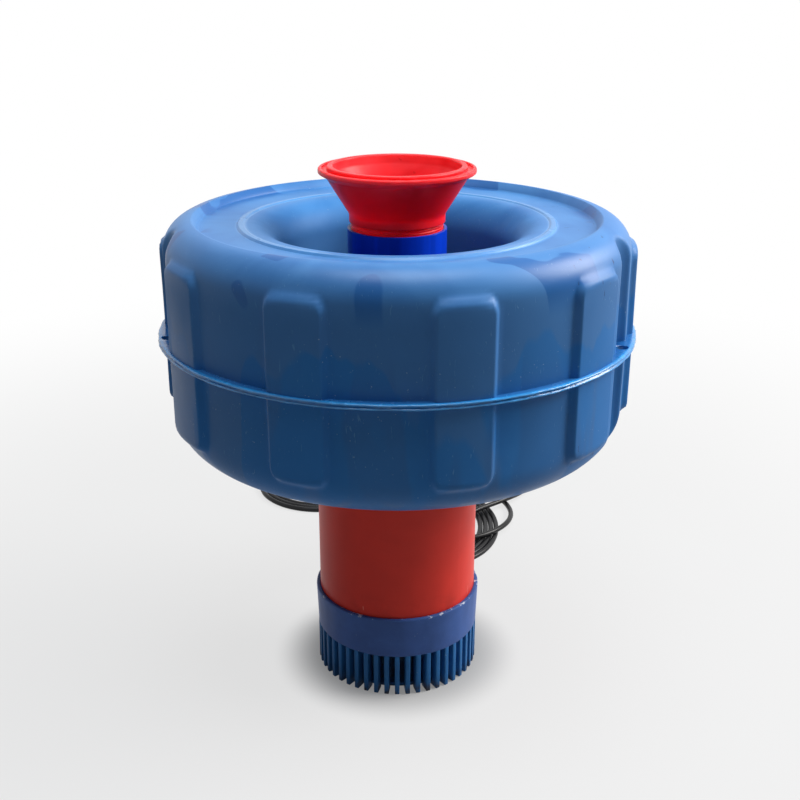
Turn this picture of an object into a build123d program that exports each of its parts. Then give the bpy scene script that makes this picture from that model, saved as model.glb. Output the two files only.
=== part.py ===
from build123d import *
import math
import os

# Solar pond aerator: a ring float carries a submersible pump that throws water
# up through a trumpet. Millimetres, +Z up, the pump's axis is Z, and Z = 0 is
# the plane that the strainer stands on. The photographed front faces -Y.
# Azimuths are in degrees, from the front towards +X.

# Clearances
fit_gap = 0.15
bearing_gap = 0.05

# Strainer basket
slot_height = 43.9
bar_count = 48
bar_width = 4.9
bar_depth = 12.0
strainer_radius = 82.7
band_foot_radius = 82.5
band_top_radius = 84.0
band_height = 42.8
base_recess = 3.0
base_plate_thickness = 4.0
ledge_thickness = 4.0
strainer_screw_azimuths = (90, -90)
strainer_screw_radius = 2.5
strainer_screw_drop = 9.0
strainer_screw_bite = 3.0
screw_head_ratio = 1.9
screw_recess = 0.5
screw_way_out = 4.0

# Barrel, with the flange that carries it in the float
barrel_radius = 80.0
barrel_wall = 4.0
barrel_length = 221.1
flange_radius = 102.0
flange_thickness = 6.0

# Suction plate and impeller
suction_plate_thickness = 4.0
eye_radius = 48.0
eye_lip_height = 3.0
impeller_radius = 66.0
impeller_vane_height = 16.0
impeller_vane_thickness = 3.0
impeller_vane_count = 6
impeller_shroud_thickness = 4.0
impeller_hub_radius = 14.0
impeller_lift = 1.5
vane_root_radius = 22.0
vane_curve_radius = 42.0

# Diffuser, with the seal chamber and the lower bearing housing
diffuser_wall = 3.8
diffuser_height = 66.1
diffuser_hub_radius = 58.0
diffuser_hub_lift = 26.1
guide_vane_count = 8
guide_vane_thickness = 3.0
guide_vane_height = 30.0
guide_vane_slant = 28.0
diffuser_screw_count = 4
diffuser_screw_radius = 3.0
diffuser_screw_height = 23.0

# Shaft, seal and bearings
shaft_radius = 7.5
shaft_shoulder_radius = 9.0
impeller_seat_radius = 6.0
shaft_thread_radius = 5.0
nut_height = 7.5
nut_width = 17.0
washer_radius = 12.0
washer_thickness = 2.0
key_width = 4.0
key_length = 14.0
bellows_height = 4.0
seal_ring_radius = 12.5
seal_ring_height = 8.0
seal_seat_radius = 14.5
seal_seat_height = 5.0
seal_face_gap = 0.05
bearing_radius = 17.5
bearing_width = 11.0
ball_radius = 3.0
ball_count = 8
race_thickness = 2.8
cage_height = 7.8
cage_thickness = 2.4
bearing_web = 6.0
wave_spring_height = 2.0

# Motor
can_wall = 2.0
can_length = 86.0
spigot_height = 6.0
o_ring_radius = 1.5
stator_bore_radius = 36.2
stator_back_radius = 46.5
stator_length = 44.0
stator_slot_count = 12
stator_slot_width = 7.0
slot_mouth_width = 3.0
stator_tooth_tip = 2.0
end_turn_height = 8.0
air_gap = 0.7
magnet_thickness = 5.0
magnet_count = 8
magnet_share = 0.9
rotor_length = 40.0
tie_rod_count = 4
tie_rod_radius = 2.5
tie_rod_circle = 50.0
tie_rod_grip = 8.0
cap_thickness = 6.0
cap_boss_wall = 3.5
spider_rib_width = 8.0
spider_rib_count = 4
lead_seal_radius = 7.0
lead_seal_height = 9.0
lead_circle = 35.0

# Pump head, discharge pipe and trumpet
head_cone_height = 51.0
head_wall = 4.0
head_socket_height = 40.0
pipe_radius = 46.5
pipe_wall = 3.0
pipe_length = 129.3
pipe_seat_depth = 32.3
pipe_seat_width = 4.0
pipe_seat_thickness = 4.0
trumpet_collar_radius = 42.6
trumpet_bore_radius = 38.6
trumpet_collar_height = 38.0
trumpet_rib_height = 0.6
trumpet_rib_pitch = 2.6
trumpet_rib_count = 11
trumpet_neck_radius = 44.8
trumpet_neck_height = 8.0
trumpet_cone_height = 33.6
trumpet_cone_radius = 65.7
trumpet_rim_radius = 72.9
trumpet_rim_height = 8.4
trumpet_rim_edge = 4.2
trumpet_ring_radius = 64.5
trumpet_ring_rise = 2.1
trumpet_groove_depth = 2.3
trumpet_groove_width = 5.0
trumpet_mouth_radius = 59.3

# Float
float_wall = 4.0
float_floor_thickness = 8.0
float_hole_gap = 2.0
throat_foot_radius = 105.0
throat_top_radius = 108.0
throat_foot_round = 2.5
throat_round = 31.0
lip_radius = 144.6
lip_height = 209.2
lip_width = 4.0
lip_step = 2.0
crest_radius = 188.5
crest_height = 215.5
crest_step = 7.5
crest_step_width = 5.0
crest_slope = 4.0
drum_radius = 216.5
drum_foot_radius = 215.5
foot_round = 40.0
pad_radius = 222.0
pad_width = 55.0
wide_pad_width = 63.0
wide_pads = (1, 3, 6, 8)
pad_low = 31.0
pad_high = 193.0
pad_corner = 14.0
pad_edge = 7.0
pad_root_depth = 12.0
pad_count = 10
pad_first_azimuth = 14.1
seam_height = 108.25
seam_flange_radius = 226.0
seam_flange_thickness = 2.65
seam_groove = 1.1
tie_hole_radius = 5.5
tie_hole_circle = 217.3
tie_hole_gaps = (1, 2, 6, 7)
tie_channel_radius = 22.0
tie_channel_circle = 227.0

# Fastening of the pump in the float
gasket_thickness = 2.0
backing_ring_thickness = 4.0
backing_ring_width = 20.0
flange_bolt_count = 8
flange_bolt_radius = 4.0
flange_bolt_circle = 92.5
bolt_head_height = 5.3
bolt_head_width = 13.0
bolt_washer_radius = 8.0
bolt_washer_thickness = 1.6
bolt_nut_height = 6.5

# Cable, gland and connector
cable_diameter = 6.5
gland_height = 232.0
gland_thread_radius = 8.0
gland_hex_width = 22.0
gland_hex_thickness = 5.0
gland_washer_radius = 12.5
gland_washer_thickness = 2.0
gland_nut_length = 14.0
gland_nut_radius = 11.0
gland_mouth_radius = 6.5
locknut_thickness = 5.0
boot_length = 26.0
boot_foot_radius = 6.2
boot_tip_radius = 4.4
lead_bend_radius = 10.0
connector_length = 34.0
connector_radius = 9.0
connector_grip_count = 12
coupling_radius = 11.0
coupling_length = 15.0
pin_count = 2
pin_radius = 1.5
pin_length = 9.0
pin_circle = 3.2

# Heights that follow from the stack of pieces, and radii that follow from the walls
ledge_top = slot_height + ledge_thickness
barrel_foot = ledge_top + suction_plate_thickness
barrel_top = barrel_foot + barrel_length
barrel_bore = barrel_radius - barrel_wall
head_ring_circle = (barrel_bore + flange_bolt_circle - flange_bolt_radius) / 2 - 0.5
flange_foot = barrel_top - flange_thickness
float_foot = flange_foot - gasket_thickness - float_floor_thickness
floor_top = float_foot + float_floor_thickness
seam_z = float_foot + seam_height
pump_plate_top = barrel_foot
vane_foot = pump_plate_top + impeller_lift
shroud_foot = vane_foot + impeller_vane_height
shroud_top = shroud_foot + impeller_shroud_thickness
hub_foot = pump_plate_top + diffuser_hub_lift
diffuser_top = pump_plate_top + diffuser_height
impeller_hub_top = hub_foot + 2.0
nut_top = vane_foot + 2.6 - washer_thickness
bellows_top = impeller_hub_top + bellows_height
seal_face = bellows_top + seal_ring_height
seat_top = seal_face + seal_seat_height
lower_bearing_foot = seat_top + bearing_web
lower_bearing_top = lower_bearing_foot + bearing_width
can_radius = diffuser_hub_radius
can_bore = can_radius - can_wall
can_top = diffuser_top + can_length
stator_foot = diffuser_top + spigot_height + end_turn_height + 2.0
stator_top = stator_foot + stator_length
stator_middle = stator_foot + stator_length / 2
cap_top = can_top + cap_thickness
upper_bearing_top = can_top - wave_spring_height - cap_thickness / 2
upper_bearing_foot = upper_bearing_top - bearing_width
rotor_radius = stator_bore_radius - air_gap
ball_circle = (shaft_radius + bearing_radius) / 2
pipe_foot = barrel_top + flange_thickness + head_cone_height
pipe_bore = pipe_radius - pipe_wall
pipe_top = pipe_foot + pipe_length
trumpet_foot = pipe_top - pipe_seat_depth
neck_foot = trumpet_foot + trumpet_collar_height
cone_foot = neck_foot + trumpet_neck_height
cone_top = cone_foot + trumpet_cone_height
rim_top = cone_top + trumpet_rim_height
cable_radius = cable_diameter / 2
gland_face = barrel_radius + gland_washer_thickness
gland_nut_foot = gland_face + gland_hex_thickness
boot_foot = gland_nut_foot + gland_nut_length
boot_tip = boot_foot + boot_length

# Route of the cable behind the pump, each point (x, y, z)
cable_floor = 3.4
cable_drop = [
    (0, boot_tip, gland_height),
    (0, 149, gland_height),
    (2, 170, 221),
    (5, 183, 197),
    (9, 189, 165),
    (13, 192, 128),
    (16, 195, 90),
    (18, 202, 55),
    (20, 217, 25),
    (21, 240, 7),
    (21, 268, cable_floor),
    (17, 302, cable_floor),
    (8, 337, cable_floor),
    (-6, 372, cable_floor),
    (-16, 410, cable_floor),
]
cable_link = [
    (-105, 340, cable_floor),
    (-86, 341, 6.5),
    (-66, 337, 10.6),
    (-45, 326, 10.0),
    (-26, 308, 5.0),
    (-12.5, 284, cable_floor),
]
cable_tail = [
    (-28, 318, 16.5),
    (-26, 295, 15.0),
    (-13, 274, 13.0),
    (8, 262, 12.6),
    (34, 261, 12.0),
    (62, 274, 6.0),
    (84, 293, 7.5),
    (105, 313, 10.8),
    (130, 331, 11.2),
    (153, 352, 10.0),
    (172, 379, 5.0),
    (187, 410, cable_floor),
    (196, 440, 6.0),
    (203, 466, coupling_radius),
    (210, 490, coupling_radius),
]

# Coils of the cable: centre x and y, radii of the first turn and of the last one,
# first angle and number of turns
left_coil = (-105, 410, 89, 89, 70, 70, 0, 2.75)
right_coil = (46.5, 284, 59, 86, 86.6, 113.6, 180, 4.0)
top_loop = (62, 318, 90, 90)
left_coil_height = 7.0
right_coil_height = 13.8
top_loop_height = 20.0


def turned(*corners):
    """Solid of revolution about Z of an outline of (radius, height, rounding) corners."""
    points = [(corner[0], corner[1]) for corner in corners]
    roundings = [corner[2] if len(corner) > 2 else 0 for corner in corners]
    outline = FilletPolyline(*points, radius=roundings, close=True)
    return revolve(Plane.XZ * make_face(outline), Axis.Z)


def ring(inner, outer, low, high):
    """Plain ring about Z."""
    section = Circle(outer) - Circle(inner)
    return Pos(0, 0, low) * extrude(section, high - low)


def disc(radius, low, high):
    """Plain disc or rod about Z."""
    return Pos(0, 0, low) * extrude(Circle(radius), high - low)


def hexagon(width, low, high, bore):
    """Hexagonal nut or head about Z, of a width across its flats."""
    section = RegularPolygon(width / math.sqrt(3), 6)
    if bore:
        section -= Circle(bore)
    return Pos(0, 0, low) * extrude(section, high - low)


def at_azimuth(azimuth, shape):
    """Turn a shape that was made at the front, on -Y, to its azimuth."""
    return Rot(0, 0, azimuth) * shape


def around(count, shape, first=0.0):
    """Separate copies of a front shape at even azimuths."""
    return [at_azimuth(first + 360 / count * index, shape) for index in range(count)]


def joined(shapes):
    """One shape out of several that touch."""
    result = shapes[0]
    for shape in shapes[1:]:
        result = result + shape
    return result


def cut_all(shape, tools):
    """Cut several tools out of a shape."""
    for tool in tools:
        shape = shape - tool
    return shape


def save(name, shape):
    """Write one node; a list is a group of separate solids."""
    if isinstance(shape, (list, tuple)):
        shape = Compound(children=[solid for item in shape for solid in item.solids()])
    export_step(shape, f"parts/{name}.step")


def front_rod(radius, low, high, z):
    """Rod along the front radius, from one distance to another."""
    return Plane(origin=(0, -low, z), x_dir=(1, 0, 0), z_dir=(0, -1, 0)) * extrude(Circle(radius), high - low)


def countersunk_screw(radius, tip, face, z, way_out):
    """Front screw from its tip to its flat face, with the way out in front of its head if it makes a hole."""
    head_radius = radius * screw_head_ratio
    head = Plane(origin=(0, -face, z), x_dir=(1, 0, 0), z_dir=(0, 1, 0)) * Cone(
        head_radius, radius, radius, align=(Align.CENTER, Align.CENTER, Align.MIN)
    )
    screw = front_rod(radius, tip, face - radius / 2, z) + head
    if way_out:
        screw += front_rod(head_radius, face, face + way_out, z)
    return screw


# Strainer basket and what holds it
def strainer_basket():
    bar_inner = strainer_radius - bar_depth
    band_bore = barrel_radius + fit_gap
    plate_foot = base_recess
    band = turned(
        (bar_inner, slot_height),
        (band_foot_radius, slot_height, 0.8),
        (band_top_radius, slot_height + band_height, 1.2),
        (band_bore, slot_height + band_height, 0.4),
        (band_bore, ledge_top),
        (bar_inner, ledge_top),
    )
    bar = Pos(0, -strainer_radius + bar_depth / 2 - 0.5, 0) * Box(
        bar_width, bar_depth + 1, slot_height + 1, align=(Align.CENTER, Align.CENTER, Align.MIN)
    )
    bar_ring = ring(bar_inner, strainer_radius, 0, slot_height + 1)
    bars = joined(around(bar_count, bar)) & bar_ring
    plate = disc(bar_inner + 1.5, plate_foot, plate_foot + base_plate_thickness)
    basket = band + bars + plate
    return cut_all(basket, strainer_screws(screw_way_out))


def strainer_screw(way_out=0.0):
    z = slot_height + band_height - strainer_screw_drop
    face = band_foot_radius + screw_recess
    return countersunk_screw(strainer_screw_radius, barrel_radius - strainer_screw_bite, face, z, way_out)


def strainer_screws(way_out=0.0):
    return [at_azimuth(azimuth, strainer_screw(way_out)) for azimuth in strainer_screw_azimuths]


# Barrel
def gland_hole():
    rod = front_rod(gland_thread_radius + fit_gap, barrel_bore - 2, barrel_radius + 2, gland_height)
    return at_azimuth(180, rod)


def diffuser_screws(way_out=0.0):
    z = pump_plate_top + diffuser_screw_height
    tip = barrel_bore - diffuser_wall + screw_recess
    screw = countersunk_screw(diffuser_screw_radius, tip, barrel_radius - screw_recess, z, way_out)
    return around(diffuser_screw_count, screw, 45)


def flange_bolt_holes(low, high):
    hole = Pos(0, -flange_bolt_circle, low) * Cylinder(
        flange_bolt_radius + fit_gap, high - low, align=(Align.CENTER, Align.CENTER, Align.MIN)
    )
    return around(flange_bolt_count, hole, 180 / flange_bolt_count)


def barrel():
    tube = turned(
        (barrel_bore, barrel_foot, 0.6),
        (barrel_radius, barrel_foot, 0.6),
        (barrel_radius, flange_foot, 1.5),
        (flange_radius, flange_foot, 0.8),
        (flange_radius, barrel_top, 0.8),
        (barrel_bore, barrel_top),
    )
    tube = cut_all(tube, flange_bolt_holes(flange_foot, barrel_top))
    tube = cut_all(tube, diffuser_screws(screw_way_out))
    tube = cut_all(tube, strainer_screws())
    return tube - gland_hole()


# Suction side of the pump
def suction_plate():
    return turned(
        (eye_radius, ledge_top - eye_lip_height, 1.2),
        (eye_radius + 5, ledge_top - eye_lip_height, 1.2),
        (eye_radius + 9, ledge_top, 2.0),
        (barrel_radius, ledge_top),
        (barrel_radius, pump_plate_top),
        (eye_radius, pump_plate_top, 1.2),
    )


def impeller_vane():
    """Backward-curved vane, an arc band from the root radius to the rim."""
    centre = (vane_curve_radius * 0.93, -vane_root_radius - 6)
    band = Circle(vane_curve_radius + impeller_vane_thickness / 2) - Circle(
        vane_curve_radius - impeller_vane_thickness / 2
    )
    band = Pos(*centre) * band
    annulus = Circle(impeller_radius) - Circle(vane_root_radius)
    half = impeller_radius / 2
    sector = Pos(-half, -half) * Rectangle(impeller_radius * 1.1, impeller_radius)
    return Pos(0, 0, vane_foot) * extrude(band & annulus & sector, impeller_vane_height)


def key_slot():
    return Pos(0, -impeller_seat_radius, shroud_foot - 4) * Box(
        key_width, key_width, key_length, align=(Align.CENTER, Align.CENTER, Align.CENTER)
    )


def impeller():
    hub_low = nut_top + washer_thickness
    body = turned(
        (impeller_seat_radius, hub_low),
        (impeller_hub_radius - 3, hub_low, 1.5),
        (impeller_hub_radius, shroud_foot - 6, 2),
        (vane_root_radius + 4, shroud_foot, 4),
        (impeller_radius, shroud_foot, 0.8),
        (impeller_radius, shroud_top, 0.8),
        (impeller_hub_radius, shroud_top, 2),
        (impeller_hub_radius, impeller_hub_top, 0.6),
        (impeller_seat_radius, impeller_hub_top),
    )
    vanes = around(impeller_vane_count, impeller_vane())
    return joined([body] + vanes) - key_slot()


def impeller_washer():
    return ring(shaft_thread_radius + fit_gap, washer_radius, nut_top, nut_top + washer_thickness)


def impeller_nut():
    nut = hexagon(nut_width, nut_top - nut_height, nut_top, shaft_thread_radius)
    crown = turned(
        (0, nut_top - nut_height - 1),
        (nut_width / 2 * 1.02, nut_top - nut_height - 1),
        (nut_width / 2 * 1.18, nut_top - nut_height + 1.4),
        (nut_width / 2 * 1.18, nut_top + 1),
        (0, nut_top + 1),
    )
    return nut & crown


# Diffuser with its guide vanes, seal chamber and lower bearing housing
def guide_vane():
    span = barrel_bore - diffuser_hub_radius
    z = diffuser_top - guide_vane_height / 2 - 4
    plate = Box(guide_vane_thickness, span, guide_vane_height)
    return Pos(0, -(diffuser_hub_radius + span / 2 - 1.2), z) * Rot(0, guide_vane_slant, 0) * plate


def diffuser():
    sleeve_radius = barrel_bore - fit_gap
    hub_top_radius = can_bore - fit_gap
    hub = turned(
        (seal_ring_radius + 4, hub_foot, 1),
        (diffuser_hub_radius, hub_foot, 3),
        (diffuser_hub_radius, diffuser_top),
        (hub_top_radius, diffuser_top),
        (hub_top_radius, diffuser_top + spigot_height, 0.8),
        (hub_top_radius - 5, diffuser_top + spigot_height, 0.8),
        (hub_top_radius - 8, lower_bearing_top + 1, 3),
        (bearing_radius, lower_bearing_top + 1),
        (bearing_radius, lower_bearing_foot),
        (shaft_radius + 1, lower_bearing_foot),
        (shaft_radius + 1, seat_top),
        (seal_seat_radius, seat_top),
        (seal_seat_radius, seal_face),
        (seal_ring_radius + 4, seal_face),
    )
    sleeve = ring(sleeve_radius - diffuser_wall, sleeve_radius, pump_plate_top, diffuser_top)
    vanes = joined(around(guide_vane_count, guide_vane())) & ring(
        diffuser_hub_radius - 1, sleeve_radius - 1, hub_foot, diffuser_top
    )
    body = hub + sleeve + vanes
    body = cut_all(body, diffuser_screws())
    body = cut_all(body, tie_rods())
    return body - o_ring(diffuser_top + spigot_height / 2)


# Shaft seal
def seal_bellows():
    return turned(
        (shaft_radius, impeller_hub_top),
        (shaft_radius + 3.4, impeller_hub_top),
        (shaft_radius + 2.4, impeller_hub_top + bellows_height / 4),
        (shaft_radius + 3.8, impeller_hub_top + bellows_height / 2),
        (shaft_radius + 2.4, impeller_hub_top + bellows_height * 3 / 4),
        (shaft_radius + 3.4, bellows_top),
        (shaft_radius, bellows_top),
    )


def seal_ring():
    return turned(
        (shaft_radius, bellows_top),
        (seal_ring_radius, bellows_top, 0.5),
        (seal_ring_radius, seal_face - 2.5),
        (seal_ring_radius - 1.5, seal_face - 2.5),
        (seal_ring_radius - 1.5, seal_face - seal_face_gap),
        (shaft_radius + 1.5, seal_face - seal_face_gap),
        (shaft_radius, seal_face - 2.5),
    )


def seal_seat():
    return ring(shaft_radius + 1, seal_seat_radius, seal_face, seat_top)


# Ball bearings, both of one size
def race_groove(middle):
    return Pos(0, 0, middle) * Torus(ball_circle, ball_radius + bearing_gap)


def bearing_inner(foot):
    outer = shaft_radius + race_thickness
    race = ring(shaft_radius, outer, foot, foot + bearing_width)
    return race - race_groove(foot + bearing_width / 2)


def bearing_outer(foot):
    inner = bearing_radius - race_thickness
    race = ring(inner, bearing_radius, foot, foot + bearing_width)
    return race - race_groove(foot + bearing_width / 2)


def bearing_balls(foot):
    ball = Pos(0, -ball_circle, foot + bearing_width / 2) * Sphere(ball_radius)
    return around(ball_count, ball)


def bearing_cage(foot):
    middle = foot + bearing_width / 2
    cage = ring(
        ball_circle - cage_thickness / 2, ball_circle + cage_thickness / 2,
        middle - cage_height / 2, middle + cage_height / 2,
    )
    pocket = Pos(0, -ball_circle, middle) * Sphere(ball_radius + bearing_gap)
    return cut_all(cage, around(ball_count, pocket))


def bearing_spring():
    inner = bearing_radius - race_thickness
    return turned(
        (inner, upper_bearing_top),
        (inner + 1.4, upper_bearing_top),
        (bearing_radius - 0.2, upper_bearing_top + wave_spring_height - 0.8),
        (bearing_radius - 0.2, upper_bearing_top + wave_spring_height),
        (bearing_radius - 1.6, upper_bearing_top + wave_spring_height),
        (inner, upper_bearing_top + 0.8),
    )


# Motor
def o_ring(z):
    return Pos(0, 0, z) * Torus(can_bore - o_ring_radius, o_ring_radius)


def can_o_rings():
    return [o_ring(diffuser_top + spigot_height / 2), o_ring(can_top - spigot_height / 2)]


def motor_can():
    return ring(can_bore, can_radius, diffuser_top, can_top)


def tie_rods():
    low = diffuser_top + spigot_height - tie_rod_grip - 5
    rod = Pos(0, -tie_rod_circle, 0) * disc(tie_rod_radius, low, cap_top + 0.5)
    head = Pos(0, -tie_rod_circle, 0) * disc(tie_rod_radius * 1.8, cap_top, cap_top + 3.5)
    return around(tie_rod_count, rod + head, 45)


def stator_slot(width, inner, outer, low, high):
    """Radial slot at the front, from one radius to another."""
    return Pos(0, -(inner + outer) / 2, low) * Box(
        width, outer - inner, high - low, align=(Align.CENTER, Align.CENTER, Align.MIN)
    )


def stator_core():
    core = ring(stator_bore_radius, can_bore, stator_foot, stator_top)
    inner = stator_bore_radius + stator_tooth_tip
    slot = stator_slot(stator_slot_width, inner, stator_back_radius, stator_foot - 1, stator_top + 1)
    mouth = stator_slot(slot_mouth_width, stator_bore_radius - 2, inner + 1, stator_foot - 1, stator_top + 1)
    core = cut_all(core, around(stator_slot_count, slot + mouth))
    return cut_all(core, tie_rods())


def stator_windings():
    inner = stator_bore_radius + stator_tooth_tip
    wire_inner = inner + fit_gap
    wire_outer = stator_back_radius - fit_gap
    wire = stator_slot(stator_slot_width - 2 * fit_gap, wire_inner, wire_outer, stator_foot - 1, stator_top + 1)
    low_turns = turned(
        (wire_inner, stator_foot),
        (wire_outer, stator_foot),
        (wire_outer, stator_foot - end_turn_height, 3),
        (wire_inner, stator_foot - end_turn_height, 3),
    )
    high_turns = mirror(low_turns, Plane(origin=(0, 0, stator_middle), z_dir=(0, 0, 1)))
    return joined([low_turns, high_turns] + around(stator_slot_count, wire))


def rotor_foot():
    return stator_middle - rotor_length / 2


def rotor_core():
    foot = rotor_foot()
    return ring(shaft_shoulder_radius, rotor_radius - magnet_thickness, foot, foot + rotor_length)


def rotor_magnets():
    span = 360 / magnet_count * magnet_share
    inner = rotor_radius - magnet_thickness
    outline = Circle(rotor_radius) - Circle(inner)
    reach = rotor_radius * 2
    half = math.radians(span / 2)
    side = reach * math.sin(half)
    front = -reach * math.cos(half)
    wedge = Polygon((0, 0), (-side, front), (side, front), align=None)
    magnet = Pos(0, 0, rotor_foot()) * extrude(outline & wedge, rotor_length)
    return around(magnet_count, magnet)


def shaft():
    thread_foot = nut_top - nut_height - 3
    body = turned(
        (0, thread_foot),
        (shaft_thread_radius, thread_foot, 1),
        (shaft_thread_radius, nut_top + washer_thickness),
        (impeller_seat_radius, nut_top + washer_thickness),
        (impeller_seat_radius, impeller_hub_top),
        (shaft_radius, impeller_hub_top),
        (shaft_radius, lower_bearing_top),
        (shaft_shoulder_radius, lower_bearing_top),
        (shaft_shoulder_radius, upper_bearing_foot),
        (shaft_radius, upper_bearing_foot),
        (shaft_radius, upper_bearing_top, 1),
        (0, upper_bearing_top),
    )
    return body - key_slot()


def motor_cap():
    boss_radius = bearing_radius + cap_boss_wall
    spigot_radius = can_bore - fit_gap
    pocket_top = upper_bearing_top + wave_spring_height
    cap = turned(
        (0, cap_top),
        (can_radius, cap_top, 2),
        (can_radius, can_top),
        (spigot_radius, can_top),
        (spigot_radius, can_top - spigot_height, 0.8),
        (spigot_radius - 5, can_top - spigot_height, 0.8),
        (spigot_radius - 6, can_top, 2),
        (boss_radius, can_top, 2),
        (boss_radius, upper_bearing_foot, 0.8),
        (bearing_radius, upper_bearing_foot),
        (bearing_radius, pocket_top),
        (0, pocket_top),
    )
    rib_end = barrel_bore - fit_gap
    rib_length = rib_end - can_radius + 8
    rib = Pos(0, -(can_radius + rib_end) / 2, can_top) * Box(
        spider_rib_width, rib_length, cap_thickness, align=(Align.CENTER, Align.CENTER, Align.MIN)
    )
    ribs = joined(around(spider_rib_count, rib)) & ring(can_radius - 3, rib_end, can_top, cap_top)
    cap = cap + Rot(0, 0, 45) * ribs
    cap = cut_all(cap, tie_rods())
    cap = cap - o_ring(can_top - spigot_height / 2)
    return cap - lead_hole()


def lead_hole():
    return Pos(0, lead_circle, can_top - spigot_height) * Cylinder(
        lead_seal_radius - 2, 30, align=(Align.CENTER, Align.CENTER, Align.MIN)
    )


def lead_seal():
    seal = turned(
        (cable_radius, can_top),
        (lead_seal_radius - 2, can_top),
        (lead_seal_radius - 2, cap_top),
        (lead_seal_radius, cap_top),
        (lead_seal_radius - 1.5, cap_top + lead_seal_height, 1),
        (cable_radius, cap_top + lead_seal_height),
    )
    return Pos(0, lead_circle, 0) * seal


def motor_lead():
    path = FilletPolyline(
        (0, lead_circle, can_top), (0, lead_circle, gland_height), (0, boot_tip, gland_height),
        radius=[lead_bend_radius],
    )
    return sweep(Plane(origin=path @ 0, z_dir=path % 0) * Circle(cable_radius), path=path)


# Pump head, pipe and trumpet
def pump_head():
    foot = barrel_top
    inner_foot = barrel_bore
    spigot_radius = pipe_bore - fit_gap / 3
    spigot_bore = spigot_radius - head_wall
    head = turned(
        (inner_foot, foot),
        (flange_radius, foot, 0.8),
        (flange_radius, foot + flange_thickness, 1.2),
        (inner_foot + head_wall, foot + flange_thickness, 3),
        (pipe_radius + 1, pipe_foot - 6, 6),
        (pipe_radius + 1, pipe_foot, 0.6),
        (spigot_radius, pipe_foot),
        (spigot_radius, pipe_foot + head_socket_height, 1),
        (spigot_bore, pipe_foot + head_socket_height, 0.6),
        (spigot_bore, pipe_foot - 4, 8),
        (inner_foot, foot + flange_thickness, 3),
    )
    head = cut_all(head, flange_bolt_holes(foot, foot + flange_thickness))
    return head - head_groove()


def head_groove():
    """Square groove for the ring that seals the head on the barrel."""
    inner = head_ring_circle - o_ring_radius
    outer = head_ring_circle + o_ring_radius
    return ring(inner, outer, barrel_top, barrel_top + 2 * o_ring_radius)


def head_o_ring():
    return Pos(0, 0, barrel_top + o_ring_radius) * Torus(head_ring_circle, o_ring_radius)


def discharge_pipe():
    tube = turned(
        (pipe_bore, pipe_foot),
        (pipe_radius, pipe_foot),
        (pipe_radius, pipe_top, 0.5),
        (pipe_bore, pipe_top, 0.5),
    )
    seat_foot = trumpet_foot - pipe_seat_thickness
    return tube + ring(pipe_bore - pipe_seat_width, pipe_bore + 0.5, seat_foot, trumpet_foot)


def spray_trumpet():
    groove_floor = rim_top - trumpet_groove_depth
    groove_outer = trumpet_ring_radius + trumpet_groove_width
    ring_top = rim_top + trumpet_ring_rise
    mouth_wall = 3.0
    body = turned(
        (trumpet_bore_radius, trumpet_foot),
        (trumpet_collar_radius, trumpet_foot, 1),
        (trumpet_collar_radius, neck_foot),
        (trumpet_neck_radius, neck_foot, 0.8),
        (trumpet_neck_radius, cone_foot, 7),
        (trumpet_cone_radius, cone_top, 4),
        (trumpet_rim_radius, rim_top - trumpet_rim_edge, 1.3),
        (trumpet_rim_radius, rim_top, 1.7),
        (groove_outer, rim_top, 0.8),
        (groove_outer, groove_floor, 0.5),
        (trumpet_ring_radius, groove_floor, 0.5),
        (trumpet_ring_radius, ring_top, 1.4),
        (trumpet_mouth_radius, ring_top, 1.8),
        (trumpet_mouth_radius - 1, cone_top + 2, 6),
        (trumpet_bore_radius + mouth_wall, cone_foot - 2, 10),
        (trumpet_bore_radius, neck_foot - trumpet_collar_height / 2, 10),
    )
    rib = Torus(trumpet_collar_radius - 0.4, trumpet_rib_height + 0.4)
    first = neck_foot - 1.4
    ribs = [Pos(0, 0, first - trumpet_rib_pitch * index) * rib for index in range(trumpet_rib_count)]
    return joined([body] + ribs)


# Float
def shoulder_corner():
    """Corner where the drum's side meets the slope that ends in the crest, and its rounding."""
    slope = math.radians(crest_slope)
    reach = drum_radius - crest_radius
    height = float_foot + crest_height - reach * math.tan(slope)
    rounding = 0.99 * reach / math.cos(slope) / math.tan((math.pi / 2 - slope) / 2)
    return drum_radius, height, rounding


def float_body():
    """Outer form of the float's ring, with no cavity and no pads."""
    crest_z = float_foot + crest_height
    lip_z = float_foot + lip_height
    return turned(
        (barrel_radius + float_hole_gap, float_foot, 1),
        (drum_foot_radius, float_foot, foot_round),
        (drum_radius, seam_z),
        shoulder_corner(),
        (crest_radius, crest_z),
        (crest_radius - crest_step_width, crest_z - crest_step, 2.0),
        (lip_radius + lip_width, lip_z - lip_step, 1),
        (lip_radius + lip_width / 2, lip_z, 1.2),
        (lip_radius - lip_width / 2, lip_z, 1.2),
        (lip_radius - lip_width, lip_z - lip_step / 2, 0.8),
        (throat_top_radius, lip_z - lip_step / 2, throat_round),
        (throat_foot_radius, floor_top, throat_foot_round),
        (barrel_radius + float_hole_gap, floor_top, 1),
    )


def float_cavity():
    """Sealed air space inside the float's ring, one wall inside its skin."""
    ceiling = float_foot + lip_height - lip_step - float_wall
    shoulder_round = 0.65 * shoulder_corner()[2]
    return turned(
        (throat_foot_radius + float_wall, float_foot + float_wall, 6),
        (drum_foot_radius - float_wall, float_foot + float_wall, foot_round - float_wall),
        (drum_radius - float_wall, seam_z),
        (drum_radius - float_wall, ceiling, shoulder_round),
        (throat_top_radius + float_wall, ceiling, throat_round - float_wall / 2),
    )


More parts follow.
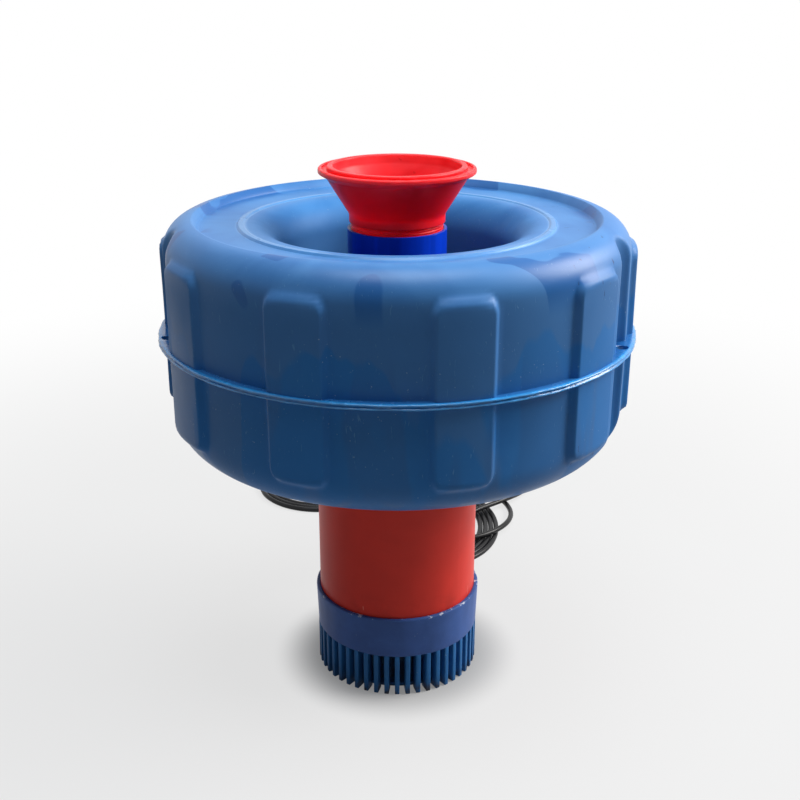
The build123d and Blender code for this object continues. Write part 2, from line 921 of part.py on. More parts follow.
def pad(full_width, inset):
    """Raised pad at the front, across the seam; its outer edge is rounded."""
    width = full_width - 2 * inset
    low = float_foot + pad_low + inset
    high = float_foot + pad_high - inset
    outer = pad_radius - inset
    root = drum_foot_radius - pad_root_depth
    face = Plane(origin=(0, -root, (low + high) / 2), x_dir=(1, 0, 0), z_dir=(0, -1, 0))
    block = face * extrude(RectangleRounded(width, high - low, pad_corner - inset), outer - root + 10)
    block = block & disc(outer, low - 1, high + 1)
    rim = [edge for edge in block.edges() if abs(math.hypot(edge.center().X, edge.center().Y)) > outer - 2]
    return fillet(rim, pad_edge - inset / 2)


def all_pads(inset):
    """The pads round the drum; those next to a tie hole are wider."""
    narrow = pad(pad_width, inset)
    wide = pad(wide_pad_width, inset)
    pitch = 360 / pad_count
    return [
        at_azimuth(pad_first_azimuth + pitch * index, wide if index in wide_pads else narrow)
        for index in range(pad_count)
    ]


def at_tie_holes(shape):
    """Copies of a front shape in the gaps between pads that have a tie hole."""
    pitch = 360 / pad_count
    return [at_azimuth(pad_first_azimuth + pitch * (gap + 0.5), shape) for gap in tie_hole_gaps]


def tie_channel(wall):
    """Upright channel down the drum's whole side past one tie hole, as thick as the given wall makes it."""
    rod = disc(tie_channel_radius + wall, float_foot - 1, float_foot + crest_height + 1)
    return Pos(0, -tie_channel_circle, 0) * rod


def whole_float():
    body = float_body()
    shell = joined([body] + all_pads(0)) - joined([float_cavity()] + all_pads(float_wall))
    linings = [lining & body for lining in at_tie_holes(tie_channel(float_wall))]
    return cut_all(joined([shell] + linings), at_tie_holes(tie_channel(0)))


def tie_holes():
    return at_tie_holes(Pos(0, -tie_hole_circle, seam_z) * Cylinder(tie_hole_radius, 20))


def seam_flange(side):
    """Welded flange on one half of the float: side is 1 for the upper half, -1 for the lower."""
    inner = tie_channel_circle - tie_channel_radius - 1
    far = seam_z + side * seam_flange_thickness
    flange = turned(
        (inner, seam_z),
        (seam_flange_radius - seam_groove, seam_z),
        (seam_flange_radius, seam_z + side * seam_groove, 0.3),
        (seam_flange_radius, far, 0.7),
        (inner, far),
    )
    return cut_all(flange, tie_holes())


def half_space(side):
    reach = seam_flange_radius * 3
    return Pos(0, 0, seam_z + side * reach / 2) * Box(reach, reach, reach)


def float_shell(whole, side):
    return cut_all(whole & half_space(side), tie_holes()) + seam_flange(side)


def float_lower_shell(whole):
    return cut_all(float_shell(whole, -1), flange_bolt_holes(float_foot, floor_top))


# Fastening of the pump's flange to the float's floor
def flange_gasket():
    gasket = ring(barrel_radius + float_hole_gap, flange_radius, floor_top, flange_foot)
    return cut_all(gasket, flange_bolt_holes(floor_top, flange_foot))


def backing_ring():
    inner = barrel_radius + float_hole_gap
    plate = ring(inner, inner + backing_ring_width, float_foot - backing_ring_thickness, float_foot)
    return cut_all(plate, flange_bolt_holes(float_foot - backing_ring_thickness, float_foot))


def on_bolt_circle(shape):
    return around(flange_bolt_count, Pos(0, -flange_bolt_circle, 0) * shape, 180 / flange_bolt_count)


def flange_bolts():
    head_foot = barrel_top + flange_thickness + bolt_washer_thickness
    tip = float_foot - backing_ring_thickness - bolt_nut_height - 2
    shank = disc(flange_bolt_radius, tip, head_foot + 1)
    return on_bolt_circle(shank + hexagon(bolt_head_width, head_foot, head_foot + bolt_head_height, 0))


def flange_washers():
    foot = barrel_top + flange_thickness
    washer = ring(flange_bolt_radius + fit_gap, bolt_washer_radius, foot, foot + bolt_washer_thickness)
    return on_bolt_circle(washer)


def flange_nuts():
    top = float_foot - backing_ring_thickness
    return on_bolt_circle(hexagon(bolt_head_width, top - bolt_nut_height, top, flange_bolt_radius))


# Cable gland in the back of the barrel, all made along Z and then laid along +Y
def laid_back(shape):
    """Lay a shape that was made along Z so that its Z runs along +Y from the pump's axis."""
    return Pos(0, 0, gland_height) * Rot(-90, 0, 0) * shape


def gland_washer():
    washer = laid_back(ring(gland_thread_radius + fit_gap, gland_washer_radius, barrel_bore, gland_face))
    return washer - disc(barrel_radius, gland_height - 30, gland_height + 30)


def gland_body():
    thread_foot = barrel_bore - locknut_thickness - 2
    thread_end = gland_nut_foot + gland_nut_length - 4
    tube = ring(cable_radius + 1.2, gland_thread_radius, thread_foot, thread_end)
    return laid_back(tube + hexagon(gland_hex_width, gland_face, gland_nut_foot, cable_radius + 1.2))


def gland_seal():
    thread_foot = barrel_bore - locknut_thickness - 2
    return laid_back(ring(cable_radius, cable_radius + 1.2, thread_foot, boot_foot - 4))


def gland_locknut():
    seat = math.sqrt(barrel_bore ** 2 - (gland_hex_width / math.sqrt(3)) ** 2)
    return laid_back(hexagon(gland_hex_width, seat - locknut_thickness, seat, gland_thread_radius))


def gland_nut():
    nut = turned(
        (gland_thread_radius, gland_nut_foot),
        (gland_nut_radius, gland_nut_foot, 0.8),
        (gland_nut_radius, boot_foot - 5, 3),
        (gland_mouth_radius + 1, boot_foot, 1),
        (cable_radius + 1.2, boot_foot),
        (cable_radius + 1.2, boot_foot - 4),
        (gland_thread_radius, boot_foot - 4),
    )
    return laid_back(nut)


def cable_boot():
    boot = turned(
        (cable_radius, boot_foot),
        (boot_foot_radius, boot_foot),
        (boot_foot_radius, boot_foot + 3, 1),
        (boot_tip_radius, boot_tip, 0.5),
        (cable_radius, boot_tip),
    )
    return laid_back(boot)


# Cable
def bend_radii(name, route):
    """Radius of each bend of a route, as large as its two runs allow."""
    points = [Vector(*point) for point in route]
    radii = []
    for before, corner, after in zip(points, points[1:], points[2:]):
        run_in = corner - before
        run_out = after - corner
        half_turn = math.radians(run_in.get_angle(run_out)) / 2
        radii.append(0.45 * min(run_in.length, run_out.length) / math.tan(half_turn))
    print(name, "bend radii", [round(radius) for radius in radii])
    return radii


def cable_tube(name, route):
    path = FilletPolyline(*route, radius=bend_radii(name, route))
    tube = sweep(Plane(origin=path @ 0, z_dir=path % 0) * Circle(cable_radius), path=path)
    expected = math.pi * cable_radius ** 2 * path.length
    print(name, "length", round(path.length), "volume ratio", round(tube.volume / expected, 4))
    return tube


def flat_ring(centre_x, centre_y, outer, inner, height):
    """Low oval ring that stands on the floor; outer and inner are (x radius, y radius)."""
    section = Ellipse(*outer) - Ellipse(*inner)
    return Pos(centre_x, centre_y, 0) * extrude(section, height)


def coil_ring(coil, height):
    """Envelope of the turns of one coil."""
    x, y, first_x, first_y, last_x, last_y, _, _ = coil
    outer = (max(first_x, last_x) + cable_radius, max(first_y, last_y) + cable_radius)
    inner = (min(first_x, last_x) - cable_radius, min(first_y, last_y) - cable_radius)
    return flat_ring(x, y, outer, inner, height)


def cable_coil_left():
    return coil_ring(left_coil, left_coil_height)


def cable_coil_right():
    x, y, radius_x, radius_y = top_loop
    outer = (radius_x + cable_radius, radius_y + cable_radius)
    inner = (radius_x - cable_radius, radius_y - cable_radius)
    return coil_ring(right_coil, right_coil_height) + flat_ring(x, y, outer, inner, top_loop_height)


# Connector on the cable's far end, made along Z and then laid along the last run
def laid_on_tail(shape):
    end = Vector(*cable_tail[-1])
    direction = end - Vector(*cable_tail[-2])
    return Plane(origin=end, x_dir=(0, 0, 1), z_dir=direction) * shape


def connector_body():
    body = turned(
        (0, 0),
        (cable_radius + 1.5, 0, 1),
        (connector_radius - 1, 8, 2),
        (connector_radius - 1, connector_length, 0),
        (0, connector_length),
    )
    grip = Pos(0, -connector_radius + 1, 10) * Box(
        2.4, 2, connector_length - 12 - coupling_length / 2, align=(Align.CENTER, Align.CENTER, Align.MIN)
    )
    return laid_on_tail(joined([body] + around(connector_grip_count, grip)))


def connector_ring():
    foot = connector_length - 3
    collar = turned(
        (connector_radius - 1, foot),
        (coupling_radius, foot, 1),
        (coupling_radius, foot + coupling_length, 1),
        (connector_radius - 0.5, foot + coupling_length),
        (connector_radius - 0.5, connector_length),
        (connector_radius - 1, connector_length),
    )
    return laid_on_tail(collar)


def connector_pins():
    pin = Pos(0, -pin_circle, 0) * disc(pin_radius, connector_length, connector_length + pin_length)
    return [laid_on_tail(copy) for copy in around(pin_count, pin)]


os.makedirs("parts", exist_ok=True)
float_whole = whole_float()

save("strainer_basket", strainer_basket())
save("strainer_screws", strainer_screws())
save("barrel", barrel())
save("suction_plate", suction_plate())
save("impeller", impeller())
save("impeller_key", key_slot())
save("impeller_washer", impeller_washer())
save("impeller_nut", impeller_nut())
save("diffuser", diffuser())
save("diffuser_screws", diffuser_screws())
save("seal_bellows", seal_bellows())
save("seal_ring", seal_ring())
save("seal_seat", seal_seat())
save("lower_bearing_inner", bearing_inner(lower_bearing_foot))
save("lower_bearing_outer", bearing_outer(lower_bearing_foot))
save("lower_bearing_balls", bearing_balls(lower_bearing_foot))
save("lower_bearing_cage", bearing_cage(lower_bearing_foot))
save("upper_bearing_inner", bearing_inner(upper_bearing_foot))
save("upper_bearing_outer", bearing_outer(upper_bearing_foot))
save("upper_bearing_balls", bearing_balls(upper_bearing_foot))
save("upper_bearing_cage", bearing_cage(upper_bearing_foot))
save("upper_bearing_spring", bearing_spring())
save("shaft", shaft())
save("rotor_core", rotor_core())
save("rotor_magnets", rotor_magnets())
save("stator_core", stator_core())
save("stator_windings", stator_windings())
save("motor_can", motor_can())
save("motor_cap", motor_cap())
save("motor_tie_rods", tie_rods())
save("motor_o_rings", can_o_rings())
save("motor_lead", motor_lead())
save("lead_seal", lead_seal())
save("pump_head", pump_head())
save("pump_head_o_ring", head_o_ring())
save("discharge_pipe", discharge_pipe())
save("spray_trumpet", spray_trumpet())
save("float_upper_shell", float_shell(float_whole, 1))
save("float_lower_shell", float_lower_shell(float_whole))
save("flange_gasket", flange_gasket())
save("flange_backing_ring", backing_ring())
save("flange_bolts", flange_bolts())
save("flange_washers", flange_washers())
save("flange_nuts", flange_nuts())
save("gland_body", gland_body())
save("gland_washer", gland_washer())
save("gland_locknut", gland_locknut())
save("gland_seal", gland_seal())
save("gland_nut", gland_nut())
save("cable_boot", cable_boot())
save("cable_drop", cable_tube("drop", cable_drop))
save("cable_link", cable_tube("link", cable_link))
save("cable_tail", cable_tube("tail", cable_tail))
save("cable_coil_left", cable_coil_left())
save("cable_coil_right", cable_coil_right())
save("connector_body", connector_body())
save("connector_ring", connector_ring())
save("connector_pins", connector_pins())
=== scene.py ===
import bmesh
import bpy
import math
from bpy.props import FloatProperty, FloatVectorProperty, IntProperty
from mathutils import Matrix, Vector, noise


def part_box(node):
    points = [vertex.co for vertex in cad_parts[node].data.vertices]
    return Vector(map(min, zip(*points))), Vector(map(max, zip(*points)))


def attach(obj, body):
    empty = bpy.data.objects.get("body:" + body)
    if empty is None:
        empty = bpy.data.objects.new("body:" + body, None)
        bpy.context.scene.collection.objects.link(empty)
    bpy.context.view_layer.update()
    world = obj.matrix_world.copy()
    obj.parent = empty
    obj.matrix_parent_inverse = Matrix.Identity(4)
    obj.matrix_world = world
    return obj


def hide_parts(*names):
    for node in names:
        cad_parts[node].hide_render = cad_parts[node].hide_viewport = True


bl_info = {
    "name": "Pond aerator",
    "version": (1, 0, 0),
    "blender": (4, 5, 0),
    "location": "View3D > Sidebar > Aerator",
    "description": "Dresses the floating pond aerator: float, strainer, trumpet, cable and finishes",
    "category": "Object",
}

# Metres, +Z up, the pump's axis on Z, the photographed front on -Y.
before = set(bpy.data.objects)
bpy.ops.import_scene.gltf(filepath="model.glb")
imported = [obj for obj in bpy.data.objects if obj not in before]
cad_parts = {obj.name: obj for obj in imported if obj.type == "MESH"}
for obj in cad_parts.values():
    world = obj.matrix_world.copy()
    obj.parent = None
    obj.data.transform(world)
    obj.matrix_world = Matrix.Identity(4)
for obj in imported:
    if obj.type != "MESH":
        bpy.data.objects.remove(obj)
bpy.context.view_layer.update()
MM = 0.001

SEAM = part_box("float_upper_shell")[0].z
BAND_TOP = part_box("strainer_basket")[1].z
TRUMPET_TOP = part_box("spray_trumpet")[1].z


# Sizes and colours that a user may change
def length_choice(name, description, default):
    return FloatProperty(name=name, description=description, default=default, subtype="DISTANCE")


def angle_choice(name, description, degrees):
    return FloatProperty(name=name, description=description, default=math.radians(degrees), subtype="ANGLE")


def colour_choice(name, description, default):
    return FloatVectorProperty(name=name, description=description, default=default, subtype="COLOR", size=3)


class FloatSettings(bpy.types.PropertyGroup):
    pad_radius: length_choice("Pad radius", "Radius of the raised pads", 222.0 * MM)
    pad_width: length_choice("Pad width", "Width of one pad round the wall", 55.0 * MM)
    wide_pad_width: length_choice("Wide pad width", "Width of the pads next to a rope hole", 63.0 * MM)
    pad_count: IntProperty(name="Pads", description="Number of pads round the float", default=10)
    pad_first: angle_choice("First pad", "Turn of the first pad from the front", 14.1)
    pad_soft: length_choice("Pad softness", "Width over which a pad rises out of the wall", 6.5 * MM)
    colour: colour_choice("Blue", "Colour of the float's moulded skin", (0.022, 0.138, 0.385))


class PumpSettings(bpy.types.PropertyGroup):
    bar_count: IntProperty(name="Bars", description="Number of bars round the strainer", default=48)
    bar_width: length_choice("Bar width", "Width of one strainer bar", 4.9 * MM)
    barrel_colour: colour_choice("Barrel red", "Colour of the barrel", (0.740, 0.042, 0.028))
    trumpet_colour: colour_choice("Trumpet red", "Colour of the trumpet", (0.860, 0.008, 0.016))
    pipe_colour: colour_choice("Pipe blue", "Colour of the discharge pipe", (0.001, 0.045, 0.620))
    strainer_colour: colour_choice("Strainer blue", "Colour of the strainer", (0.042, 0.095, 0.290))


class CableSettings(bpy.types.PropertyGroup):
    diameter: length_choice("Cable diameter", "Outer diameter of the cable", 6.5 * MM)
    colour: colour_choice("Jacket", "Colour of the cable's jacket", (0.006, 0.006, 0.007))


class StageSettings(bpy.types.PropertyGroup):
    focal_length: FloatProperty(name="Lens", description="Focal length in millimetres", default=52.1)
    camera_pitch: angle_choice("Camera pitch", "How far the camera looks down", 20.98)
    floor_radius: length_choice("Floor radius", "Radius of the round floor", 40.0)


# Shader building
class Wire:
    """A node's output that adds Math nodes where it stands in an expression."""

    def __init__(self, finish, socket):
        self.finish = finish
        self.socket = socket

    def maths(self, operation, first, second, clamp=False):
        values = {0: first, 1: second}
        return self.finish.add("Math", values, operation=operation, use_clamp=clamp)

    def __add__(self, other):
        return self.maths("ADD", self, other)

    def __radd__(self, other):
        return self.maths("ADD", other, self)

    def __sub__(self, other):
        return self.maths("SUBTRACT", self, other)

    def __rsub__(self, other):
        return self.maths("SUBTRACT", other, self)

    def __mul__(self, other):
        return self.maths("MULTIPLY", self, other)

    def __rmul__(self, other):
        return self.maths("MULTIPLY", other, self)

    def clamped(self):
        return self.maths("ADD", self, 0.0, clamp=True)


class Finish:
    """One material, built node by node."""

    def __init__(self, name):
        self.material = bpy.data.materials.new(name)
        self.material.use_nodes = True
        self.tree = self.material.node_tree
        self.tree.nodes.clear()
        self.place = None

    def add(self, kind, values=None, output=0, **settings):
        """New shader node, with its settings and then the values or links of its sockets."""
        given = {}
        for socket, value in (values or {}).items():
            if value is not None:
                given[socket] = value.socket if isinstance(value, Wire) else value
        node = tree_node(self.tree, "ShaderNode" + kind, given, **settings)
        return Wire(self, node.outputs[output]) if len(node.outputs) else None

    def position(self):
        if self.place is None:
            self.place = self.add("TexCoord", output=3)
        return self.place

    def axis(self, index):
        return self.add("SeparateXYZ", {0: self.position()}, index)

    def radius(self):
        """Distance from the pump's axis."""
        return self.add("VectorMath", {0: self.stretched((1.0, 1.0, 0.0))}, 1, operation="LENGTH")

    def stretched(self, scale, turn=(0.0, 0.0, 0.0)):
        """Object coordinates, scaled and turned."""
        return self.add("Mapping", {"Vector": self.position(), "Scale": scale, "Rotation": turn})

    def grain(self, scale, detail=3.0, rough=0.55, vector=None, warp=0.0):
        values = {
            "Vector": vector or self.position(), "Scale": scale, "Detail": detail, "Roughness": rough,
            "Distortion": warp,
        }
        return self.add("TexNoise", values)

    def streaks(self, scale, detail=2.0, turn=(0.0, 0.0, 0.0), warp=0.0):
        """Noise drawn out along an axis by unlike scales."""
        return self.grain(1.0, detail, 0.5, self.stretched(scale, turn), warp)

    def bands(self, scale, warp, detail=2.0):
        """Bands one above the other."""
        values = {"Vector": self.position(), "Scale": scale, "Distortion": warp, "Detail": detail}
        return self.add("TexWave", values, 1, wave_type="BANDS", bands_direction="Z")

    def step(self, wire, low, high):
        """Smooth step of a value from low to high."""
        values = {0: wire, 1: low, 2: high, 3: 0.0, 4: 1.0}
        return self.add("MapRange", values, interpolation_type="SMOOTHSTEP")

    def tint(self, mask, first, second, mode="MIX"):
        """Mix of two colours, each a colour or a link, by a mask."""
        values = {0: mask, 6: self.opaque(first), 7: self.opaque(second)}
        return self.add("Mix", values, 2, data_type="RGBA", blend_type=mode)

    def mottled(self, field, colour, dark, bright, high=0.7):
        """Colour that goes from a darker to a brighter shade with a field."""
        return self.tint(self.step(field, 0.35, high), shade(colour, dark), shade(colour, bright))

    def opaque(self, colour):
        return colour if isinstance(colour, Wire) else (*colour[:3], 1.0)

    def bump(self, height, strength, distance, below=None):
        values = {"Height": height, "Strength": strength, "Distance": distance, "Normal": below}
        return self.add("Bump", values)

    def close(
        self, colour, roughness, normal, metallic=0.0, coat=0.0, specular=0.5, glow_through=0.0,
        coat_roughness=0.2,
    ):
        """Put the surface on and give the material back."""
        values = {
            "Base Color": self.opaque(colour), "Roughness": roughness.clamped(), "Metallic": metallic,
            "Coat Weight": coat, "Coat Roughness": coat_roughness, "Specular IOR Level": specular,
            "Normal": normal, "Subsurface Weight": glow_through, "Subsurface Radius": (1.0, 0.12, 0.10),
            "Subsurface Scale": 0.009,
        }
        self.add("OutputMaterial", {0: self.add("BsdfPrincipled", values)})
        return self.material


def shade(colour, factor):
    return tuple(min(1.0, channel * factor) for channel in colour)


# Where the float's wear, painted sheen and painted highlight come in, from none to all: heights, then
# distances from the axis or the middle
UPPER_WALL = (SEAM + 0.060, SEAM + 0.100)
DRIPPING = (SEAM - 0.01, SEAM + 0.085)
LOW_WALL = (SEAM + 0.070, SEAM - 0.010)
SHOULDER = (SEAM + 0.058, SEAM + 0.084)
LIP_HEIGHT = (0.455, 0.462)
SHOULDER_RING = (0.168, 0.182)
LIP_INSIDE = (0.138, 0.141)
LIP_OUTSIDE = (0.151, 0.147)
SHEEN_RING = (0.120, 0.145)
WORN_SIDE = (0.10, 0.16)
SEAM_RIM = (0.2205, 0.2235)

# Pale dry patches, and painted sheen where they lie on the shoulder and top
PALE_BLOOM_AND_PAINTED_SHEEN = (0.080, 0.270, 0.580)
DRIED_FILM = (0.068, 0.155, 0.320)
DEEP_SPOT = (0.002, 0.085, 0.300)
# Painted highlight of the glossy lip
LIP_PAINTED_HIGHLIGHT = (0.040, 0.280, 0.620)
FLOAT_DUST = (0.35, 0.48, 0.60)
FLOAT_SCRATCH = (0.16, 0.36, 0.58)
DARK_NICK = (0.004, 0.028, 0.110)
# Painted highlight of the seam's outer rim
SEAM_RIM_PAINTED_HIGHLIGHT = (0.025, 0.300, 0.700)


def float_skin_finish(colour):
    """Weathered blue skin: pale dry patches, heaviest on top where they are painted sheen, wet runs and
    drips, a glossy lip painted with a highlight, nicks and specks.
    """
    finish = Finish("float_skin")
    z = finish.axis(2)
    radius = finish.radius()
    clouds = finish.grain(7.0, 4.0, 0.6, None, 0.6)
    patches = finish.step(clouds, 0.36, 0.66)
    upper = finish.step(z, *UPPER_WALL)
    # Pale dry patches, faint on the wall; on the shoulder and top they are painted sheen that makes the top
    # paler, as if lit from above
    pale = finish.tint(patches * (0.08 + 0.42 * upper), colour, PALE_BLOOM_AND_PAINTED_SHEEN)
    drip_field = finish.streaks((11.0, 11.0, 2.4), 3.0, warp=0.5)
    film = finish.step(drip_field + 0.30 * finish.step(z, *DRIPPING), 0.60, 0.635)
    filmed = finish.tint(film * (0.45 - 0.35 * upper), pale, DRIED_FILM)
    low_field = finish.streaks((15.0, 15.0, 3.2), 3.0, (0.0, 0.0, 1.1), 0.4)
    wet = finish.step(low_field, 0.50, 0.56) * finish.step(z, *LOW_WALL)
    stained = finish.tint(wet * 0.35, filmed, shade(colour, 0.62))
    spot_field = finish.grain(15.0, 2.0, 0.4, finish.stretched((1.0, 1.0, 0.7)), 0.8)
    shoulder = finish.step(z, *SHOULDER) * finish.step(radius, *SHOULDER_RING)
    spots = finish.step(spot_field, 0.55, 0.58) * shoulder
    spotted = finish.tint(spots * 0.80, stained, DEEP_SPOT)
    lip = finish.step(radius, *LIP_INSIDE) * finish.step(radius, *LIP_OUTSIDE) * finish.step(z, *LIP_HEIGHT)
    # Painted highlight: the lip is tinted a lighter cyan, as if it caught the light
    lip_highlighted = finish.tint(lip * 0.30, spotted, LIP_PAINTED_HIGHLIGHT)
    specks = finish.step(finish.grain(420.0, 2.0, 0.5), 0.70, 0.76)
    dust = specks * finish.step(finish.grain(11.0, 2.0), 0.5, 0.62)
    dusty = finish.tint(dust * 0.45, lip_highlighted, FLOAT_DUST)
    scratch_field = finish.stretched((30.0, 30.0, 6.0), (0.3, 0.2, 0.5))
    scratches = finish.step(finish.grain(9.0, 2.0, 0.5, scratch_field, 2.5), 0.70, 0.74)
    scuffed = finish.tint(scratches * 0.25, dusty, FLOAT_SCRATCH)
    nick_field = finish.streaks((95.0, 95.0, 30.0), turn=(0.0, 0.6, 0.4), warp=1.0)
    nicks = finish.step(nick_field, 0.715, 0.735) * finish.step(finish.axis(0), *WORN_SIDE)
    nicked = finish.tint(nicks * 0.8, scuffed, DARK_NICK)
    roughness = 0.42 + 0.10 * clouds - 0.12 * wet - 0.12 * spots - 0.20 * lip
    fine = finish.bump(finish.grain(900.0, 2.0, 0.6), 0.10, 0.0004)
    soft = finish.bump(finish.grain(14.0, 2.0, 0.5), 0.30, 0.004, fine)
    normal = finish.bump(scratches - nicks, 0.25, 0.0005, soft)
    sheen = 0.25 * lip + 0.10 * wet + 0.45 * upper * finish.step(radius, *SHEEN_RING)
    return finish.close(nicked, roughness, normal, coat=sheen, specular=0.10, coat_roughness=0.42)


def seam_finish(colour):
    """Smeared, shiny plastic of the welded seam, with a painted highlight along its outer rim."""
    finish = Finish("seam_plastic")
    smear = finish.step(finish.grain(60.0, 3.0, 0.6, finish.stretched((1.0, 1.0, 4.0)), 0.5), 0.50, 0.66)
    # Painted highlight along the seam's rounded outer rim, patchy with the smear
    painted_highlight_rim = finish.step(finish.radius(), *SEAM_RIM)
    mixed = finish.tint(painted_highlight_rim * (0.55 + 0.4 * smear), colour, SEAM_RIM_PAINTED_HIGHLIGHT)
    normal = finish.bump(finish.grain(160.0, 3.0, 0.6), 0.35, 0.0006)
    return finish.close(mixed, 0.20 + 0.15 * smear, normal, coat=0.4, specular=0.25)


def moulded_finish(name, colour, roughness=0.35, mottle=0.12, grain_size=700.0, coat=0.0, wear=None):
    """Plain moulded plastic or rubber, with mottling, a fine skin and optional pale wear."""
    finish = Finish(name)
    clouds = finish.grain(22.0, 4.0, 0.6, None, 0.3)
    mixed = finish.mottled(clouds, colour, 1.0 - mottle, 1.0 + mottle, 0.68)
    if wear:
        marks = finish.step(finish.grain(130.0, 4.0, 0.7, None, 1.2), 0.66, 0.74)
        mixed = finish.tint(marks * 0.35, mixed, wear)
    normal = finish.bump(finish.grain(grain_size, 2.0, 0.6), 0.16, 0.0003)
    return finish.close(mixed, roughness + 0.10 * (clouds - 0.5), normal, coat=coat)


# Specular level that keeps the white surroundings out of a plastic's colour
DULL = 0.14


def barrel_finish(colour):
    """Satin red tube with faint drawing marks, darker patches just above the strainer band and a few pale
    scratches.
    """
    finish = Finish("barrel_red")
    z = finish.axis(2)
    clouds = finish.grain(9.0, 3.0, 0.55, None, 0.5)
    body = finish.mottled(clouds, colour, 0.90, 1.08)
    # Darker patches over the 30 mm just above the strainer band
    low = finish.step(z, BAND_TOP + 0.030, BAND_TOP) * finish.step(finish.grain(45.0, 4.0, 0.6), 0.42, 0.66)
    darker_above_band = finish.tint(low * 0.35, body, shade(colour, 0.55))
    thread = finish.stretched((46.0, 46.0, 11.0), (0.0, 0.5, 0.2))
    scratches = finish.step(finish.grain(2.4, 1.0, 0.5, thread, 1.2), 0.752, 0.766)
    marked = finish.tint(scratches * 0.5, darker_above_band, (0.90, 0.30, 0.24))
    fine = finish.bump(finish.streaks((160.0, 160.0, 3.0)), 0.10, 0.0004)
    normal = finish.bump(finish.grain(12.0, 2.0, 0.5), 0.15, 0.002, fine)
    return finish.close(marked, 0.36 + 0.10 * clouds, normal, specular=DULL)


BAR_BLUE = (0.022, 0.125, 0.330)
SILT = (0.055, 0.042, 0.030)


def strainer_finish(colour):
    """Blue basket with pale burrs on its top edge and dried silt at its foot."""
    finish = Finish("strainer_blue")
    z = finish.axis(2)
    clouds = finish.grain(26.0, 4.0, 0.6, None, 0.4)
    base = finish.tint(finish.step(z, BAND_FOOT, BAR_TOP), BAR_BLUE, colour)
    body = finish.tint(finish.step(clouds, 0.35, 0.7), base, (1.25, 1.25, 1.25), "MULTIPLY")
    edge = finish.step(z, BAND_TOP - 0.0022, BAND_TOP - 0.0008)
    burr = edge * finish.step(finish.grain(95.0, 3.0, 0.7), 0.56, 0.64)
    nicked = finish.tint(burr * 0.8, body, (0.62, 0.70, 0.80))
    chip_places = finish.step(finish.grain(20.0, 2.0), 0.50, 0.60)
    chips = finish.step(finish.grain(240.0, 3.0, 0.7), 0.69, 0.73) * chip_places
    chipped = finish.tint(chips * 0.6, nicked, (0.45, 0.55, 0.70))
    foot = finish.step(z, 0.012, 0.001)
    silt = (foot * 1.1 * finish.step(finish.grain(70.0, 5.0, 0.65), 0.40, 0.62)).clamped()
    dirty = finish.tint(silt * 0.85, chipped, SILT)
    normal = finish.bump(finish.grain(620.0, 3.0, 0.6), 0.2, 0.0004)
    roughness = 0.38 + 0.12 * clouds + 0.3 * silt
    return finish.close(dirty, roughness, normal, specular=DULL)


def trumpet_finish(colour):
    """Bright red plastic with faint turning rings, and painted light: a paler patchy tint on the mouth's
    top and inside.
    """
    finish = Finish("trumpet_red")
    z = finish.axis(2)
    clouds = finish.grain(18.0, 3.0, 0.55, None, 0.4)
    body = finish.mottled(clouds, colour, 0.92, 1.10)
    # Painted light: the mouth's upper 30 mm is tinted towards a lit pale red, in cloudy patches
    mouth_painted_light_mask = finish.step(z, TRUMPET_TOP - 0.03, TRUMPET_TOP) * finish.step(clouds, 0.30, 0.75)
    mouth_lit_tint = finish.tint(mouth_painted_light_mask * 0.45, body, (0.95, 0.130, 0.150))
    rings = finish.bands(260.0, 0.4, 1.0)
    nicks = finish.step(finish.grain(110.0, 3.0, 0.6, None, 1.0), 0.70, 0.75)
    nicked = finish.tint(nicks * 0.4, mouth_lit_tint, (0.45, 0.006, 0.006))
    fine = finish.bump(rings, 0.05, 0.0002)
    normal = finish.bump(nicks, 0.3, 0.0004, fine)
    return finish.close(nicked, 0.32 + 0.10 * clouds, normal, specular=0.16, glow_through=0.7)


def pipe_finish(colour):
    """Smooth extruded blue pipe with faint lengthwise marks."""
    finish = Finish("pipe_blue")
    drawn = finish.streaks((120.0, 120.0, 4.0))
    body = finish.mottled(drawn, colour, 0.88, 1.12)
    scuffs = finish.step(finish.grain(150.0, 3.0, 0.6, None, 0.8), 0.70, 0.75)
    scuffed = finish.tint(scuffs * 0.3, body, (0.10, 0.18, 0.60))
    normal = finish.bump(drawn, 0.08, 0.0003)
    return finish.close(scuffed, 0.28 + 0.12 * drawn, normal, specular=DULL)


def metal_finish(name, colour, roughness=0.3, turned=True):
    """Metal with turning or drawing marks and slight tarnish."""
    finish = Finish(name)
    scale = (40.0, 40.0, 1400.0) if turned else (700.0, 700.0, 25.0)
    lines = finish.streaks(scale)
    clouds = finish.grain(35.0, 4.0, 0.6)
    mixed = finish.tint(finish.step(clouds, 0.4, 0.75), colour, shade(colour, 0.72))
    normal = finish.bump(lines, 0.12, 0.0002)
    return finish.close(mixed, roughness + 0.18 * (lines - 0.5) + 0.1 * clouds, normal, 1.0)


def winding_finish():
    """Varnished copper turns."""
    finish = Finish("winding_copper")
    turns = finish.bands(170.0, 1.2)
    mixed = finish.tint(turns, (0.30, 0.075, 0.022), (0.62, 0.21, 0.075))
    return finish.close(mixed, 0.30 + 0.15 * turns, finish.bump(turns, 0.6, 0.0006), 0.8)


def lamination_finish():
    """Stack of thin varnished sheets."""
    finish = Finish("lamination_stack")
    sheets = finish.bands(320.0, 0.2)
    mixed = finish.tint(sheets, (0.045, 0.048, 0.055), (0.13, 0.135, 0.14))
    return finish.close(mixed, 0.42 + 0.1 * sheets, finish.bump(sheets, 0.5, 0.0003), 0.6)


